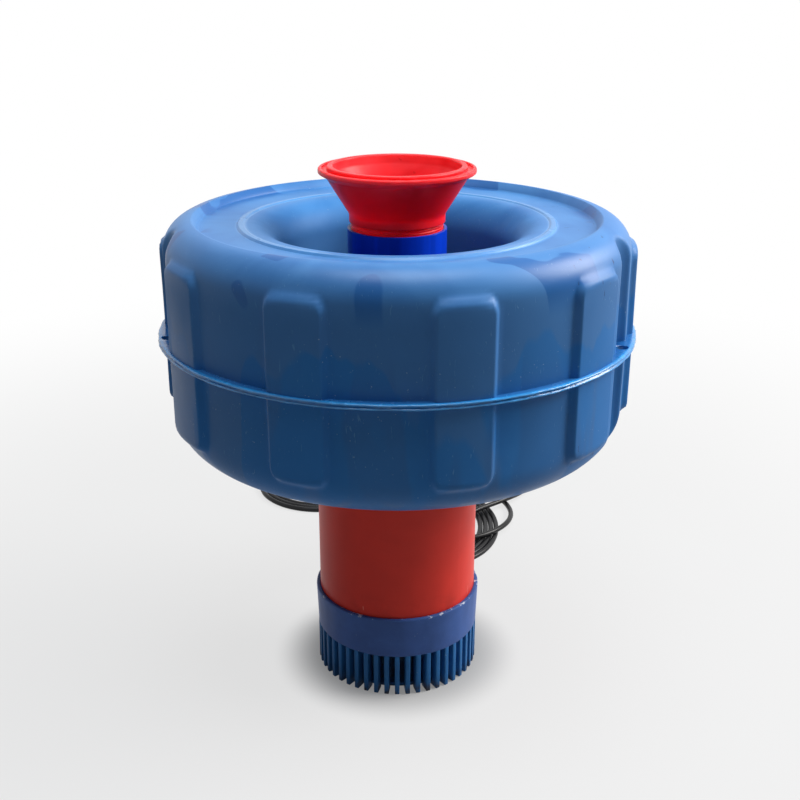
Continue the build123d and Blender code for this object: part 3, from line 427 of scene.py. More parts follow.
def cable_finish(colour):
    """Smooth rubber jacket with a soft gloss, dust and small rubs."""
    finish = Finish("cable_jacket")
    clouds = finish.grain(60.0, 4.0, 0.6)
    dust = finish.step(finish.grain(300.0, 3.0, 0.6, None, 0.5), 0.62, 0.74)
    body = finish.mottled(clouds, colour, 1.0, 1.8)
    dusty = finish.tint(dust * 0.10, body, (0.10, 0.095, 0.09))
    normal = finish.bump(finish.grain(1100.0, 2.0, 0.6), 0.2, 0.0002)
    return finish.close(dusty, 0.24 + 0.14 * clouds + 0.2 * dust, normal, specular=0.22)


# Mesh building
COARSE_STEPS = 2.4


def add_object(name, data):
    """New object at the origin, in the scene's own collection."""
    thing = bpy.data.objects.new(name, data)
    bpy.context.scene.collection.objects.link(thing)
    return thing


def place_mesh(name, vertices, faces, material, smooth=True):
    """New piece whose place is in its mesh."""
    mesh = bpy.data.meshes.new(name)
    mesh.from_pydata(vertices, [], faces)
    mesh.validate()
    mesh.update()
    return dress(add_object(name, mesh), material, smooth)


def dress(piece, material, smooth=True):
    """Give a piece its only material and its shading."""
    piece.data.materials.append(material)
    for polygon in piece.data.polygons:
        polygon.use_smooth = smooth
    return piece


def in_metres(corners):
    return [tuple(size * MM for size in corner) for corner in corners]


def at_turn(radius, turn, height):
    """Point at a turn about the axis from the photographed front."""
    return (radius * math.sin(turn), -radius * math.cos(turn), height)


def even_turns(columns):
    return [2 * math.pi * column / columns for column in range(columns)]


def even_ring(columns, section):
    """Vertices of a section of (radius, height) points, turned about the axis."""
    return [at_turn(radius, turn, height) for turn in even_turns(columns) for radius, height in section]


def tidy_normals(piece):
    work = bmesh.new()
    work.from_mesh(piece.data)
    bmesh.ops.remove_doubles(work, verts=work.verts, dist=1e-6)
    bmesh.ops.recalc_face_normals(work, faces=work.faces)
    work.to_mesh(piece.data)
    work.free()


def ring_faces(columns, rows):
    """Quads of a closed ring of closed sections: columns round the axis, rows along the section."""
    faces = []
    for column in range(columns):
        after = (column + 1) % columns
        for row in range(rows):
            above = (row + 1) % rows
            here = column * rows
            there = after * rows
            faces.append((here + row, there + row, there + above, here + above))
    return faces


def rounded_section(corners, step, arc_steps=6, fine_from=0.0):
    """Closed outline of (radius, height, rounding) corners, with arcs.

    No run is longer than a step, or than COARSE_STEPS of them nearer the axis than fine_from.
    """
    outline = []
    count = len(corners)
    for index, (x, y, rounding) in enumerate(corners):
        corner = Vector((x, y))
        before = Vector(corners[index - 1][:2]) - corner
        after = Vector(corners[(index + 1) % count][:2]) - corner
        if rounding <= 0:
            outline.append(corner)
            continue
        half = before.angle(after) / 2
        cut = rounding / math.tan(half)
        before.normalize()
        after.normalize()
        centre = corner + (before + after).normalized() * rounding / math.sin(half)
        start = corner + before * cut - centre
        end = corner + after * cut - centre
        turn = start.angle_signed(end)
        pieces = max(arc_steps, int(abs(turn) * rounding / step) + 1)
        for piece in range(pieces + 1):
            outline.append(centre + Matrix.Rotation(-turn * piece / pieces, 2) @ start)
    dense = []
    for index, point in enumerate(outline):
        following = outline[(index + 1) % len(outline)]
        reach = step if min(point.x, following.x) > fine_from else COARSE_STEPS * step
        pieces = max(1, round((following - point).length / reach))
        dense.extend(point.lerp(following, piece / pieces) for piece in range(pieces))
    return dense


def smooth_step(value, low, high):
    share = min(1.0, max(0.0, (value - low) / (high - low)))
    return share * share * (3 - 2 * share)


def ride_on_pump(piece):
    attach(piece, "pump_and_float")


# Float
FLOAT_CORNERS = [
    (82.0, 257.0, 1.0), (215.5, 257.0, 40.0), (216.5, 365.25, 0.0), (216.5, 470.54, 28.5),
    (188.5, 472.5, 0.0), (183.5, 465.0, 2.0), (148.6, 464.2, 1.0), (146.6, 466.2, 1.2), (142.6, 466.2, 1.2),
    (140.6, 465.2, 0.8), (108.0, 465.2, 31.0), (105.0, 265.0, 2.5), (82.0, 265.0, 1.0),
]
TIE_GAPS = (1, 2, 6, 7)
TIE_CIRCLE = 217.3 * MM
CHANNEL_CIRCLE = 227.0 * MM
CHANNEL_RADIUS = 22.0 * MM
CHANNEL_SOFT = 2.5 * MM
CHANNEL_TURN = 0.100
CHANNEL_STEPS = 18
GAP_STEPS = 5
PAD_STEPS = (3, 10, 4)
WIDE_PADS = (1, 3, 6, 8)
WALL_FROM = 185.0 * MM
PAD_LOW = 288.0 * MM
PAD_HIGH = 450.0 * MM
PAD_CORNER = 13.0 * MM
PAD_MARGIN = 20.0 * MM
RISE_OUTSIDE = 0.35
RISE_INSIDE = 0.65
WARP_DEPTH = 0.9


def half_turns(sizes, pad, gap):
    """Turns from a pad's middle to the middle of the gap beside it."""
    half = pad_half_width(sizes, pad) / sizes.pad_radius
    soft = sizes.pad_soft / sizes.pad_radius
    middle = math.pi / sizes.pad_count
    marks = [0.0, half - soft, half + soft * RISE_OUTSIDE, middle - CHANNEL_TURN, middle]
    counts = (*PAD_STEPS, CHANNEL_STEPS if gap in TIE_GAPS else GAP_STEPS)
    turns = []
    for start, end, count in zip(marks, marks[1:], counts):
        turns.extend(start + (end - start) * step / count for step in range(count))
    return turns


def pad_turns(sizes):
    """Azimuths of the float's columns, close together at the pads' sides and in the rope channels."""
    pitch = 2 * math.pi / sizes.pad_count
    turns = []
    for pad in range(sizes.pad_count):
        middle = sizes.pad_first + pitch * pad
        before = half_turns(sizes, pad, (pad - 1) % sizes.pad_count)
        turns.extend(middle - turn for turn in reversed(before[1:]))
        turns.extend(middle + turn for turn in half_turns(sizes, pad, pad))
        turns.append(middle + pitch / 2)
    return turns


def pad_half_width(sizes, pad):
    return (sizes.wide_pad_width if pad in WIDE_PADS else sizes.pad_width) / 2


def pad_share(sizes, turn, height):
    """How far a point of the wall stands on a pad, from 0 to 1."""
    pitch = 2 * math.pi / sizes.pad_count
    pad = math.floor((turn - sizes.pad_first) / pitch + 0.5)
    around = turn - sizes.pad_first - pad * pitch
    across = abs(around) * sizes.pad_radius
    side = pad_half_width(sizes, pad % sizes.pad_count) - across
    end = min(height - PAD_LOW, PAD_HIGH - height)
    if side < PAD_CORNER and end < PAD_CORNER:
        inside = PAD_CORNER - math.hypot(PAD_CORNER - side, PAD_CORNER - end)
    else:
        inside = min(side, end)
    return smooth_step(inside, -RISE_OUTSIDE * sizes.pad_soft, RISE_INSIDE * sizes.pad_soft)


def in_channel(sizes, turn, radius):
    """Radius of the wall where an upright channel past a rope hole may cut into it."""
    pitch = 2 * math.pi / sizes.pad_count
    for gap in TIE_GAPS:
        off = math.remainder(turn - sizes.pad_first - pitch * (gap + 0.5), 2 * math.pi)
        reach = CHANNEL_RADIUS ** 2 - (CHANNEL_CIRCLE * math.sin(off)) ** 2
        if reach > 0 and abs(off) < pitch / 2:
            floor = CHANNEL_CIRCLE * math.cos(off) - math.sqrt(reach)
            blend = max(0.0, CHANNEL_SOFT - abs(radius - floor)) / CHANNEL_SOFT
            return min(radius, floor) - blend * blend * CHANNEL_SOFT / 4
    return radius


def wall_warp(turn, height):
    """Slight unevenness of a wall that shrank as it cooled."""
    spot = Vector((2.2 * math.cos(turn), 2.2 * math.sin(turn), height * 9))
    return noise.noise(spot) * WARP_DEPTH * MM


def float_vertices(sizes, turns, section):
    vertices = []
    for turn in turns:
        for radius, height in section:
            if radius > WALL_FROM and PAD_LOW - PAD_MARGIN < height < PAD_HIGH + PAD_MARGIN:
                radius += (sizes.pad_radius - radius) * pad_share(sizes, turn, height)
                radius += wall_warp(turn, height)
            if radius > WALL_FROM:
                radius = in_channel(sizes, turn, radius)
            vertices.append(at_turn(radius, turn, height))
    return vertices


class AERATOR_OT_float_skin(bpy.types.Operator):
    """Rotation-moulded skin of the float, with its soft pads, rope channels, lip and throat"""

    bl_idname = "aerator.float_skin"
    bl_label = "Float skin"

    def execute(self, context):
        sizes = context.scene.aerator_float
        section = rounded_section(in_metres(FLOAT_CORNERS), step=3.4 * MM, fine_from=WALL_FROM)
        turns = pad_turns(sizes)
        vertices = float_vertices(sizes, turns, section)
        material = float_skin_finish(sizes.colour)
        skin = place_mesh("float_skin", vertices, ring_faces(len(turns), len(section)), material)
        tidy_normals(skin)
        ride_on_pump(skin)
        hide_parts("float_upper_shell", "float_lower_shell")
        return {"FINISHED"}


WELD_SECTION = (
    (204.0, 2.3), (219.0, 2.5), (223.4, 2.65), (225.0, 2.45), (225.8, 1.75), (225.4, 0.9), (223.6, 0.25),
    (223.6, -0.25), (225.4, -0.9), (226.0, -1.75), (225.2, -2.45), (223.6, -2.65), (219.0, -2.5),
    (204.0, -2.3),
)
WELD_COLUMNS = 900
FREE_RIM_FROM = 222.0
RIM_WAVE = 0.9
RIM_PULL = 0.5
PLATE_WAVE = 0.35
PLATE_NOISE_APART = 3.0
FLASH_SECTION = ((225.2, 1.9), (225.6, 1.5), (225.6, 1.2), (225.2, 0.8))
FLASH_COLUMNS = 360
TIE_HOLE = 5.5 * MM


def weld_vertices():
    """Both plates of the welded seam, with the waviness of plastic that was pressed while hot."""
    vertices = []
    for turn in even_turns(WELD_COLUMNS):
        for radius, rise in WELD_SECTION:
            side = PLATE_NOISE_APART if rise > 0 else -PLATE_NOISE_APART
            spot = Vector((5 * math.cos(turn), 5 * math.sin(turn), side))
            wave = noise.noise(spot) + 0.5 * noise.noise(spot * 5.2)
            outward = radius + (RIM_WAVE * wave - RIM_PULL if radius > FREE_RIM_FROM else 0.0)
            height = SEAM + (rise + PLATE_WAVE * noise.noise(spot * 3.1)) * MM
            vertices.append(at_turn(outward * MM, turn, height))
    return vertices


def flash_band(material):
    """Narrow band along the seam's upper edge that carries the nubs of squeezed-out plastic."""
    section = [(radius * MM, SEAM + rise * MM) for radius, rise in FLASH_SECTION]
    faces = ring_faces(FLASH_COLUMNS, len(section))
    return place_mesh("weld_flash", even_ring(FLASH_COLUMNS, section), faces, material)


def rope_hole_cutter(sizes):
    """Upright rods where the rope holes go through the seam's plates."""
    cutter = bmesh.new()
    pitch = 2 * math.pi / sizes.pad_count
    for gap in TIE_GAPS:
        place = Matrix.Translation(at_turn(TIE_CIRCLE, sizes.pad_first + pitch * (gap + 0.5), SEAM))
        bmesh.ops.create_cone(
            cutter, cap_ends=True, segments=40, radius1=TIE_HOLE, radius2=TIE_HOLE, depth=20.0 * MM,
            matrix=place,
        )
    mesh = bpy.data.meshes.new("rope_hole_cutter")
    cutter.to_mesh(mesh)
    cutter.free()
    return add_object("rope_hole_cutter", mesh)


def carry_out(piece):
    """Turn a piece's modifiers into plain mesh and take them off."""
    bpy.context.view_layer.update()
    graph = bpy.context.evaluated_depsgraph_get()
    mesh = bpy.data.meshes.new_from_object(piece.evaluated_get(graph), depsgraph=graph)
    piece.modifiers.clear()
    old = piece.data
    piece.data = mesh
    if not old.users:
        bpy.data.meshes.remove(old)


class AERATOR_OT_weld_seam(bpy.types.Operator):
    """Two welded plates round the float's middle, with their rope holes"""

    bl_idname = "aerator.weld_seam"
    bl_label = "Welded seam"

    def execute(self, context):
        sizes = context.scene.aerator_float
        material = seam_finish(sizes.colour)
        faces = ring_faces(WELD_COLUMNS, len(WELD_SECTION))
        seam = place_mesh("weld_seam", weld_vertices(), faces, material)
        tidy_normals(seam)
        tool = rope_hole_cutter(sizes)
        cut = seam.modifiers.new("rope_holes", "BOOLEAN")
        cut.operation = "DIFFERENCE"
        cut.solver = "EXACT"
        cut.object = tool
        carry_out(seam)
        bpy.data.objects.remove(tool)
        flash = flash_band(material)
        lumps = {"Density": 26000.0, "Lump": 0.45 * MM, "Seed": 7}
        grow(flash, scatter_tree("weld_flash_tree", material), lumps)
        for piece in (seam, flash):
            ride_on_pump(piece)
        return {"FINISHED"}


# Geometry Nodes
def node_tree(name, inputs):
    """New geometry tree with named inputs; gives the tree, its input node and its output node."""
    tree = bpy.data.node_groups.new(name, "GeometryNodeTree")
    tree.interface.new_socket("Geometry", in_out="INPUT", socket_type="NodeSocketGeometry")
    for label, kind, value in inputs:
        tree.interface.new_socket(label, in_out="INPUT", socket_type=kind).default_value = value
    tree.interface.new_socket("Geometry", in_out="OUTPUT", socket_type="NodeSocketGeometry")
    return tree, tree.nodes.new("NodeGroupInput"), tree.nodes.new("NodeGroupOutput")


def tree_node(tree, kind, values=None, **choices):
    """New node of a tree, with its choices and then the values or links of its sockets."""
    node = tree.nodes.new(kind)
    for name, value in choices.items():
        setattr(node, name, value)
    for socket, value in (values or {}).items():
        if isinstance(value, bpy.types.NodeSocket):
            tree.links.new(value, node.inputs[socket])
        else:
            node.inputs[socket].default_value = value
    return node


def finish_tree(tree, geometry, material, end):
    """Close a tree with Realize Instances and Set Material."""
    real = tree_node(tree, "GeometryNodeRealizeInstances", {"Geometry": geometry})
    values = {"Geometry": real.outputs[0], "Material": material}
    painted = tree_node(tree, "GeometryNodeSetMaterial", values)
    tree.links.new(painted.outputs[0], end.inputs["Geometry"])


def ring_copies_tree(name, material):
    """Copies of the incoming piece at even turns about the axis."""
    tree, start, end = node_tree(name, [("Count", "NodeSocketInt", 8)])
    count = start.outputs["Count"]
    points = tree_node(tree, "GeometryNodePoints", {"Count": count})
    index = tree_node(tree, "GeometryNodeInputIndex")
    share = tree_node(tree, "ShaderNodeMath", {0: index.outputs[0], 1: count}, operation="DIVIDE")
    turn = tree_node(tree, "ShaderNodeMath", {0: share.outputs[0], 1: 2 * math.pi}, operation="MULTIPLY")
    spin = tree_node(tree, "ShaderNodeCombineXYZ", {"Z": turn.outputs[0]})
    values = {
        "Points": points.outputs[0], "Instance": start.outputs["Geometry"], "Rotation": spin.outputs[0],
    }
    copies = tree_node(tree, "GeometryNodeInstanceOnPoints", values)
    finish_tree(tree, copies.outputs[0], material, end)
    return tree


def scatter_tree(name, material):
    """Small lumps strewn on the incoming surface, all of them by one fixed seed."""
    inputs = [
        ("Density", "NodeSocketFloat", 100.0), ("Lump", "NodeSocketFloat", 0.001),
        ("Seed", "NodeSocketInt", 1),
    ]
    tree, start, end = node_tree(name, inputs)
    given = start.outputs
    values = {"Mesh": given["Geometry"], "Density": given["Density"], "Seed": given["Seed"]}
    strewn = tree_node(tree, "GeometryNodeDistributePointsOnFaces", values, distribute_method="RANDOM")
    values = {"Radius": given["Lump"], "Subdivisions": 2}
    lump = tree_node(tree, "GeometryNodeMeshIcoSphere", values)
    rounder = tree_node(tree, "GeometryNodeSetShadeSmooth", {"Geometry": lump.outputs[0]})
    size = tree_node(
        tree, "FunctionNodeRandomValue", {"Min": (0.5, 0.25, 0.25), "Max": (2.6, 0.6, 0.5), "Seed": 3},
        data_type="FLOAT_VECTOR",
    )
    values = {
        "Points": strewn.outputs["Points"], "Instance": rounder.outputs[0],
        "Rotation": strewn.outputs["Rotation"], "Scale": size.outputs[0],
    }
    copies = tree_node(tree, "GeometryNodeInstanceOnPoints", values)
    finish_tree(tree, copies.outputs[0], material, end)
    return tree


def grow(piece, tree, values):
    """Run a geometry tree with given inputs on a piece and keep the result as plain mesh."""
    modifier = piece.modifiers.new(tree.name, "NODES")
    modifier.node_group = tree
    for item in tree.interface.items_tree:
        if item.in_out == "INPUT" and item.name in values:
            modifier[item.identifier] = values[item.name]
    piece.update_tag()
    carry_out(piece)


# Strainer
BAND_FOOT = 43.9 * MM
BAR_TOP = BAND_FOOT + 1.0 * MM
BAR_OUTER = 82.7 * MM
BAR_DEPTH = 12.0 * MM
BAR_TAPER = 0.94
BAND_CORNERS = (
    (70.7, 43.9, 0.5), (82.5, 43.9, 0.9), (84.0, 86.7, 1.3), (80.15, 86.7, 0.4), (80.15, 47.9, 0.2),
    (70.7, 47.9, 0.5),
)
BAND_COLUMNS = 480
BAND_OUTSIDE = 81.0 * MM
BAND_WARP = 0.25 * MM
RAGGED_EDGE = (BAND_TOP - 1.2 * MM, BAND_TOP - 0.2 * MM)
RAGGED_DEPTH = 0.5 * MM
PLATE_CORNERS = ((6.0, 3.0, 0.5), (72.2, 3.0, 0.5), (72.2, 7.0, 0.8), (6.0, 7.0, 0.5))
PLATE_COLUMNS = 144
BOSS_MIDDLE = 5.2 * MM
BOSS_HEIGHT = 4.6 * MM
BOSS_FOOT_RADIUS = 8.5 * MM
BOSS_TOP_RADIUS = 7.5 * MM


def bar_piece(width, material):
    """One strainer bar at the front, with rounded edges and a slightly narrower foot."""
    work = bmesh.new()
    bmesh.ops.create_cube(work, size=1.0)
    for vertex in work.verts:
        x = vertex.co.x * width * (BAR_TAPER if vertex.co.z < 0 else 1.0)
        y = vertex.co.y * BAR_DEPTH - BAR_OUTER + BAR_DEPTH / 2
        vertex.co = Vector((x, y, (vertex.co.z + 0.5) * BAR_TOP))
    bmesh.ops.bevel(
        work, geom=list(work.edges), offset=0.8 * MM, segments=3, affect="EDGES", profile=0.5,
        clamp_overlap=True,
    )
    mesh = bpy.data.meshes.new("strainer_bars")
    work.to_mesh(mesh)
    work.free()
    return dress(add_object("strainer_bars", mesh), material)


def band_vertices(section):
    """Band of the strainer, with a ragged moulded edge on top."""
    vertices = []
    for turn in even_turns(BAND_COLUMNS):
        spot = Vector((14 * math.cos(turn), 14 * math.sin(turn), 0.0))
        rough = 0.5 * noise.noise(spot) + 0.5 * noise.noise(spot * 3.7)
        for radius, height in section:
            ragged = rough * RAGGED_DEPTH * smooth_step(height, *RAGGED_EDGE)
            if radius > BAND_OUTSIDE:
                radius += BAND_WARP * noise.noise(spot * 0.4)
            vertices.append(at_turn(radius, turn, height + min(0.0, ragged)))
    return vertices


class AERATOR_OT_strainer(bpy.types.Operator):
    """Strainer basket: band, upright bars by a geometry tree, and base plate"""

    bl_idname = "aerator.strainer"
    bl_label = "Strainer"

    def execute(self, context):
        pump = context.scene.aerator_pump
        material = strainer_finish(pump.strainer_colour)
        section = rounded_section(in_metres(BAND_CORNERS), step=4.0 * MM, arc_steps=4)
        faces = ring_faces(BAND_COLUMNS, len(section))
        band = place_mesh("strainer_band", band_vertices(section), faces, material)
        tidy_normals(band)
        bars = bar_piece(pump.bar_width, material)
        grow(bars, ring_copies_tree("strainer_bars_tree", material), {"Count": pump.bar_count})
        plate = base_plate(material)
        for piece in (band, bars, plate):
            ride_on_pump(piece)
        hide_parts("strainer_basket")
        return {"FINISHED"}


def base_plate(material):
    """Round plate that closes the strainer's foot, with a boss in its middle."""
    section = rounded_section(in_metres(PLATE_CORNERS), step=6.0 * MM, arc_steps=3)
    faces = ring_faces(PLATE_COLUMNS, len(section))
    plate = place_mesh("strainer_plate", even_ring(PLATE_COLUMNS, section), faces, material)
    work = bmesh.new()
    work.from_mesh(plate.data)
    place = Matrix.Translation((0.0, 0.0, BOSS_MIDDLE))
    bmesh.ops.create_cone(
        work, cap_ends=True, segments=48, radius1=BOSS_FOOT_RADIUS, radius2=BOSS_TOP_RADIUS,
        depth=BOSS_HEIGHT, matrix=place,
    )
    work.to_mesh(plate.data)
    work.free()
    return plate


# Cable, its route in millimetres: on the floor its middle is at CABLE_FLOOR, the plug's at CONNECTOR_AXIS
CABLE_FLOOR = 3.4
CONNECTOR_AXIS = 11.0
COIL_STEP = 20
CABLE_DROP = [
    (0, 127, 232), (0, 149, 232), (2, 170, 221), (5, 183, 197), (9, 189, 165), (13, 192, 128),
    (16, 195, 90), (18, 202, 55), (20, 217, 25), (21, 240, 7), (21, 268, CABLE_FLOOR),
    (17, 302, CABLE_FLOOR), (8, 337, CABLE_FLOOR), (-6, 372, CABLE_FLOOR),
]
CABLE_LINK = [(-86, 341, 6.5), (-66, 337, 10.6), (-45, 326, 10.0), (-26, 308, 5.0)]
CABLE_TAIL = [
    (-26, 295, 15.0), (-13, 274, 13.0), (8, 262, 12.6), (34, 261, 12.0), (62, 274, 6.0), (84, 293, 7.5),
    (105, 313, 10.8), (130, 331, 11.2), (153, 352, 10.0), (172, 379, 5.0), (187, 410, CABLE_FLOOR),
    (196, 440, 6.0), (203, 466, CONNECTOR_AXIS), (210, 490, CONNECTOR_AXIS),
]
# Centre, half widths of the first and of the last turn, start and end in degrees
LEFT_COIL = ((-105, 410), (89, 89), (70, 70), 0, 990)
RIGHT_COIL = ((46.5, 284), (59, 86), (86.6, 113.6), 180, 1620)
TOP_COIL = ((62, 318), (90, 90), (90, 90), 280, 540)


def coil_points(centre, first, last, start, end, lift):
    """Points of a coil whose radii change evenly from its first turn to its last one."""
    span = end - start
    count = round(abs(span) / COIL_STEP)
    points = []
    for index in range(count + 1):
        share = index / count
        turn = math.radians(start + span * share)
        across, along = (one + (other - one) * share for one, other in zip(first, last))
        height = CABLE_FLOOR + lift(turn)
        points.append((centre[0] + across * math.cos(turn), centre[1] + along * math.sin(turn), height))
    return points


def cable_route(diameter):
    """Control points of the whole cable, in millimetres, from the boot's tip to the connector."""
    def crossed(turn):
        """Turns of the right coil ride over the run that comes down behind the pump."""
        return diameter * min(1.05, max(0.0, 1.6 * math.cos(turn - math.radians(160))))

    def on_top(turn):
        dip = 0.9 * max(0.0, math.cos(turn - math.radians(20))) ** 4
        hump = 1.3 * max(0.0, math.cos(turn - math.radians(150))) ** 2
        return diameter * (1.0 - dip + hump)

    left = coil_points(*LEFT_COIL, lambda turn: 0.0)
    right = coil_points(*RIGHT_COIL, crossed)
    top = coil_points(*TOP_COIL, on_top)
    return CABLE_DROP + left + CABLE_LINK + right + top + CABLE_TAIL


def smooth_curve(name, points, radius, material):
    """NURBS curve of one open spline through a tube's route."""
    curve = bpy.data.curves.new(name, "CURVE")
    curve.dimensions = "3D"
    spline = curve.splines.new("NURBS")
    spline.points.add(len(points) - 1)
    for control, point in zip(spline.points, points):
        control.co = (*(size * MM for size in point), 1.0)
    spline.order_u = 3
    spline.use_endpoint_u = True
    spline.resolution_u = 5
    curve.bevel_depth = radius
    curve.bevel_resolution = 4
    curve.use_fill_caps = True
    curve.materials.append(material)
    return add_object(name, curve)


class AERATOR_OT_cable(bpy.types.Operator):
    """Supply cable: out of the boot, down behind the pump and into two loose coils on the floor"""

    bl_idname = "aerator.cable"
    bl_label = "Supply cable"

    def execute(self, context):
        cable = context.scene.aerator_cable
        points = cable_route(cable.diameter / MM)
        piece = smooth_curve("supply_cable", points, cable.diameter / 2, cable_finish(cable.colour))
        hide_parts("cable_drop", "cable_link", "cable_tail", "cable_coil_left", "cable_coil_right")
        ride_on_pump(piece)
        return {"FINISHED"}


# Finishes of the pieces that keep their own shape
def give(material, *nodes):
    """Put one finish on several of the frame's nodes."""
    for name in nodes:
        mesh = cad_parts[name].data
        mesh.materials.clear()
        mesh.materials.append(material)


class AERATOR_OT_finishes(bpy.types.Operator):
    """Finishes of the barrel, trumpet, pipe, pump, motor, gland and connector"""

    bl_idname = "aerator.finishes"
    bl_label = "Finishes"

    def execute(self, context):
        pump = context.scene.aerator_pump
        barrel = barrel_finish(pump.barrel_colour)
        black = moulded_finish("black_nylon", (0.016, 0.016, 0.018), 0.42, 0.25)
        rubber = moulded_finish("black_rubber", (0.010, 0.010, 0.011), 0.58, 0.3, 900.0)
        boot_wear = (0.09, 0.085, 0.08)
        boot = moulded_finish("boot_rubber", (0.013, 0.013, 0.014), 0.5, 0.3, 800.0, wear=boot_wear)
        steel = metal_finish("turned_steel", (0.36, 0.355, 0.35), 0.44)
        drawn = metal_finish("drawn_steel", (0.40, 0.40, 0.39), 0.42, False)
        brass = metal_finish("pin_brass", (0.68, 0.46, 0.17), 0.25, False)
        ceramic = moulded_finish("seal_ceramic", (0.72, 0.70, 0.64), 0.16, 0.04, 1500.0, 0.4)
        carbon = moulded_finish("seal_carbon", (0.030, 0.030, 0.033), 0.3, 0.2, 1500.0)
        give(barrel, "barrel", "pump_head")
        give(trumpet_finish(pump.trumpet_colour), "spray_trumpet")
        give(pipe_finish(pump.pipe_colour), "discharge_pipe")
        give(black, "suction_plate", "impeller", "diffuser", "motor_cap", "gland_body", "gland_locknut",
             "gland_nut", "lower_bearing_cage", "upper_bearing_cage", "connector_body", "connector_ring")
        give(rubber, "seal_bellows", "motor_o_rings", "lead_seal", "pump_head_o_ring", "flange_gasket",
             "gland_washer", "gland_seal")
        give(boot, "cable_boot")
        give(cable_finish(context.scene.aerator_cable.colour), "motor_lead")
        give(steel, "strainer_screws", "impeller_key", "impeller_washer", "impeller_nut", "diffuser_screws",
             "lower_bearing_inner", "lower_bearing_outer", "lower_bearing_balls", "upper_bearing_inner",
             "upper_bearing_outer", "upper_bearing_balls", "upper_bearing_spring", "shaft", "flange_bolts",
             "flange_washers", "flange_nuts")
        give(drawn, "motor_can", "motor_tie_rods", "flange_backing_ring")
        give(lamination_finish(), "stator_core", "rotor_core")
        give(metal_finish("magnet_grey", (0.16, 0.16, 0.17), 0.4, False), "rotor_magnets")
        give(winding_finish(), "stator_windings")
        give(ceramic, "seal_seat")
        give(carbon, "seal_ring")
        give(brass, "connector_pins")
        return {"FINISHED"}


# Stage
WHITE = (1.0, 1.0, 1.0)
SKY_TINT = (0.93, 0.96, 1.0)
SKY_LEVEL = 0.10
SHADOW_EDGE = (0.078, 0.135)
FLOOR_FADE = (0.35, 1.5)
FLOOR_RINGS = (0.6, 1.5, 5.0, 15.0)
FLOOR_SIDES = 96
# Name, place, aim, diameter, power and colour
LAMPS = (
    ("key_lamp", (1.90, 0.35, 1.60), (0.0, 0.0, 0.30), 1.5, 78.0, (1.0, 0.98, 0.95)),
    ("sky_lamp", (0.1, -0.20, 2.2), (0.0, 0.0, 0.45), 1.2, 32.0, (0.92, 0.96, 1.0)),
    ("left_fill", (-1.8, -1.2, 1.0), (0.0, 0.0, 0.30), 1.6, 1.5, WHITE),
)


def pale_floor_finish():
    """Pale matt floor that keeps the object's shadow, is painted grey close round the object as a painted
    contact shadow, and fades to white further out.
    """
    finish = Finish("pale_floor")
    tint = finish.tint(finish.grain(3.0, 3.0), (0.35, 0.35, 0.35), (0.38, 0.38, 0.38))
    matt = finish.add("BsdfDiffuse", {"Color": tint})
    glow = finish.add("Emission", {"Color": (*WHITE, 1.0), "Strength": 1.0})
    distance = finish.add("VectorMath", {0: finish.position()}, 1, operation="LENGTH")
    # Painted shadow: close round the object less of the white glow is seen, so the floor there is grey even
    # where lit
    clear_of_painted_shadow = finish.step(distance, *SHADOW_EDGE)
    far = finish.step(distance, *FLOOR_FADE)
    camera = finish.add("LightPath", output=0)
    glossy = finish.add("LightPath", output=3)
    through = finish.add("LightPath", output=6)
    seen = (camera + glossy + through).clamped()
    share = seen * (0.20 + 0.52 * clear_of_painted_shadow + 0.28 * far)
    mixed = finish.add("MixShader", {0: share, 1: matt, 2: glow})
    finish.add("OutputMaterial", {0: mixed})
    return finish.material


def white_world():
    """World that lights evenly and dimly, and shows as white to the camera and in reflections."""
    world = bpy.data.worlds.new("studio_world")
    world.use_nodes = True
    tree = world.node_tree
    tree.nodes.clear()
    path = tree_node(tree, "ShaderNodeLightPath").outputs
    rays = {0: path["Is Camera Ray"], 1: path["Is Transmission Ray"]}
    direct = tree_node(tree, "ShaderNodeMath", rays, operation="MAXIMUM")
    rays = {0: direct.outputs[0], 1: path["Is Glossy Ray"]}
    seen = tree_node(tree, "ShaderNodeMath", rays, operation="MAXIMUM")
    soft = tree_node(tree, "ShaderNodeBackground", {"Color": (*SKY_TINT, 1.0), "Strength": SKY_LEVEL})
    white = tree_node(tree, "ShaderNodeBackground", {"Color": (*WHITE, 1.0), "Strength": 1.0})
    shaders = {0: seen.outputs[0], 1: soft.outputs[0], 2: white.outputs[0]}
    mixed = tree_node(tree, "ShaderNodeMixShader", shaders)
    tree_node(tree, "ShaderNodeOutputWorld", {0: mixed.outputs[0]})
    bpy.context.scene.world = world


def add_lamp(name, place, aim, size, power, colour):
    lamp = bpy.data.lights.new(name, "AREA")
    lamp.shape = "DISK"
    lamp.size = size
    lamp.energy = power
    lamp.color = colour
    holder = add_object(name, lamp)
    holder.location = place
    holder.rotation_euler = (Vector(aim) - Vector(place)).to_track_quat("-Z", "Y").to_euler()


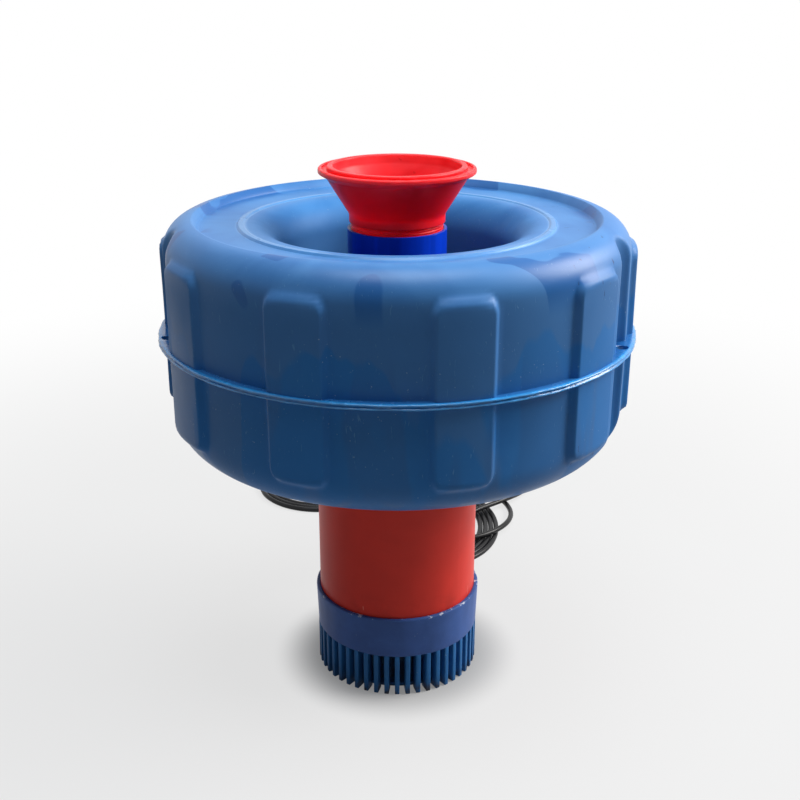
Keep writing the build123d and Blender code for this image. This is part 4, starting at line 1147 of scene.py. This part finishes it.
def round_floor(rings):
    """Flat round floor: a fan of triangles to the first ring's radius, then quads from ring to ring."""
    vertices = [(0.0, 0.0, 0.0)]
    faces = []
    for index, radius in enumerate(rings):
        outer = 1 + index * FLOOR_SIDES
        inner = outer - FLOOR_SIDES
        for side, turn in enumerate(even_turns(FLOOR_SIDES)):
            vertices.append((radius * math.cos(turn), radius * math.sin(turn), 0.0))
            after = (side + 1) % FLOOR_SIDES
            if index == 0:
                faces.append((0, outer + side, outer + after))
            else:
                faces.append((inner + side, outer + side, outer + after, inner + after))
    return place_mesh("studio_floor", vertices, faces, pale_floor_finish(), smooth=False)


class AERATOR_OT_stage(bpy.types.Operator):
    """Floor, lamps, world and camera"""

    bl_idname = "aerator.stage"
    bl_label = "Stage"

    def execute(self, context):
        stage = context.scene.aerator_stage
        floor = round_floor((*FLOOR_RINGS, stage.floor_radius))
        white_world()
        for lamp in LAMPS:
            add_lamp(*lamp)
        camera = bpy.data.cameras.new("photo_camera")
        camera.lens = stage.focal_length
        camera.sensor_width = 36.0
        camera.shift_x = 0.0035
        camera.clip_end = 200.0
        holder = add_object("photo_camera", camera)
        holder.location = (0.0, -1.066, 0.695)
        holder.rotation_euler = (math.pi / 2 - stage.camera_pitch, 0.0, 0.0)
        context.scene.camera = holder
        context.scene.view_settings.view_transform = "Standard"
        return {"FINISHED"}


class AERATOR_PT_panel(bpy.types.Panel):
    """Steps of the aerator, in order"""

    bl_idname = "AERATOR_PT_panel"
    bl_label = "Pond aerator"
    bl_space_type = "VIEW_3D"
    bl_region_type = "UI"
    bl_category = "Aerator"

    def draw(self, context):
        for step in STEPS:
            self.layout.operator(step.bl_idname)


GROUPS = {
    "aerator_float": FloatSettings, "aerator_pump": PumpSettings, "aerator_cable": CableSettings,
    "aerator_stage": StageSettings,
}
STEPS = (
    AERATOR_OT_stage, AERATOR_OT_cable, AERATOR_OT_finishes, AERATOR_OT_float_skin, AERATOR_OT_weld_seam,
    AERATOR_OT_strainer,
)
CLASSES = (*GROUPS.values(), *STEPS, AERATOR_PT_panel)


def register():
    for kind in CLASSES:
        bpy.utils.register_class(kind)
    for name, group in GROUPS.items():
        setattr(bpy.types.Scene, name, bpy.props.PointerProperty(type=group))


def unregister():
    for name in GROUPS:
        delattr(bpy.types.Scene, name)
    for kind in reversed(CLASSES):
        bpy.utils.unregister_class(kind)


def main():
    register()
    for step in STEPS:
        getattr(bpy.ops.aerator, step.bl_idname.split(".")[1])()


if __name__ == "__main__":
    main()
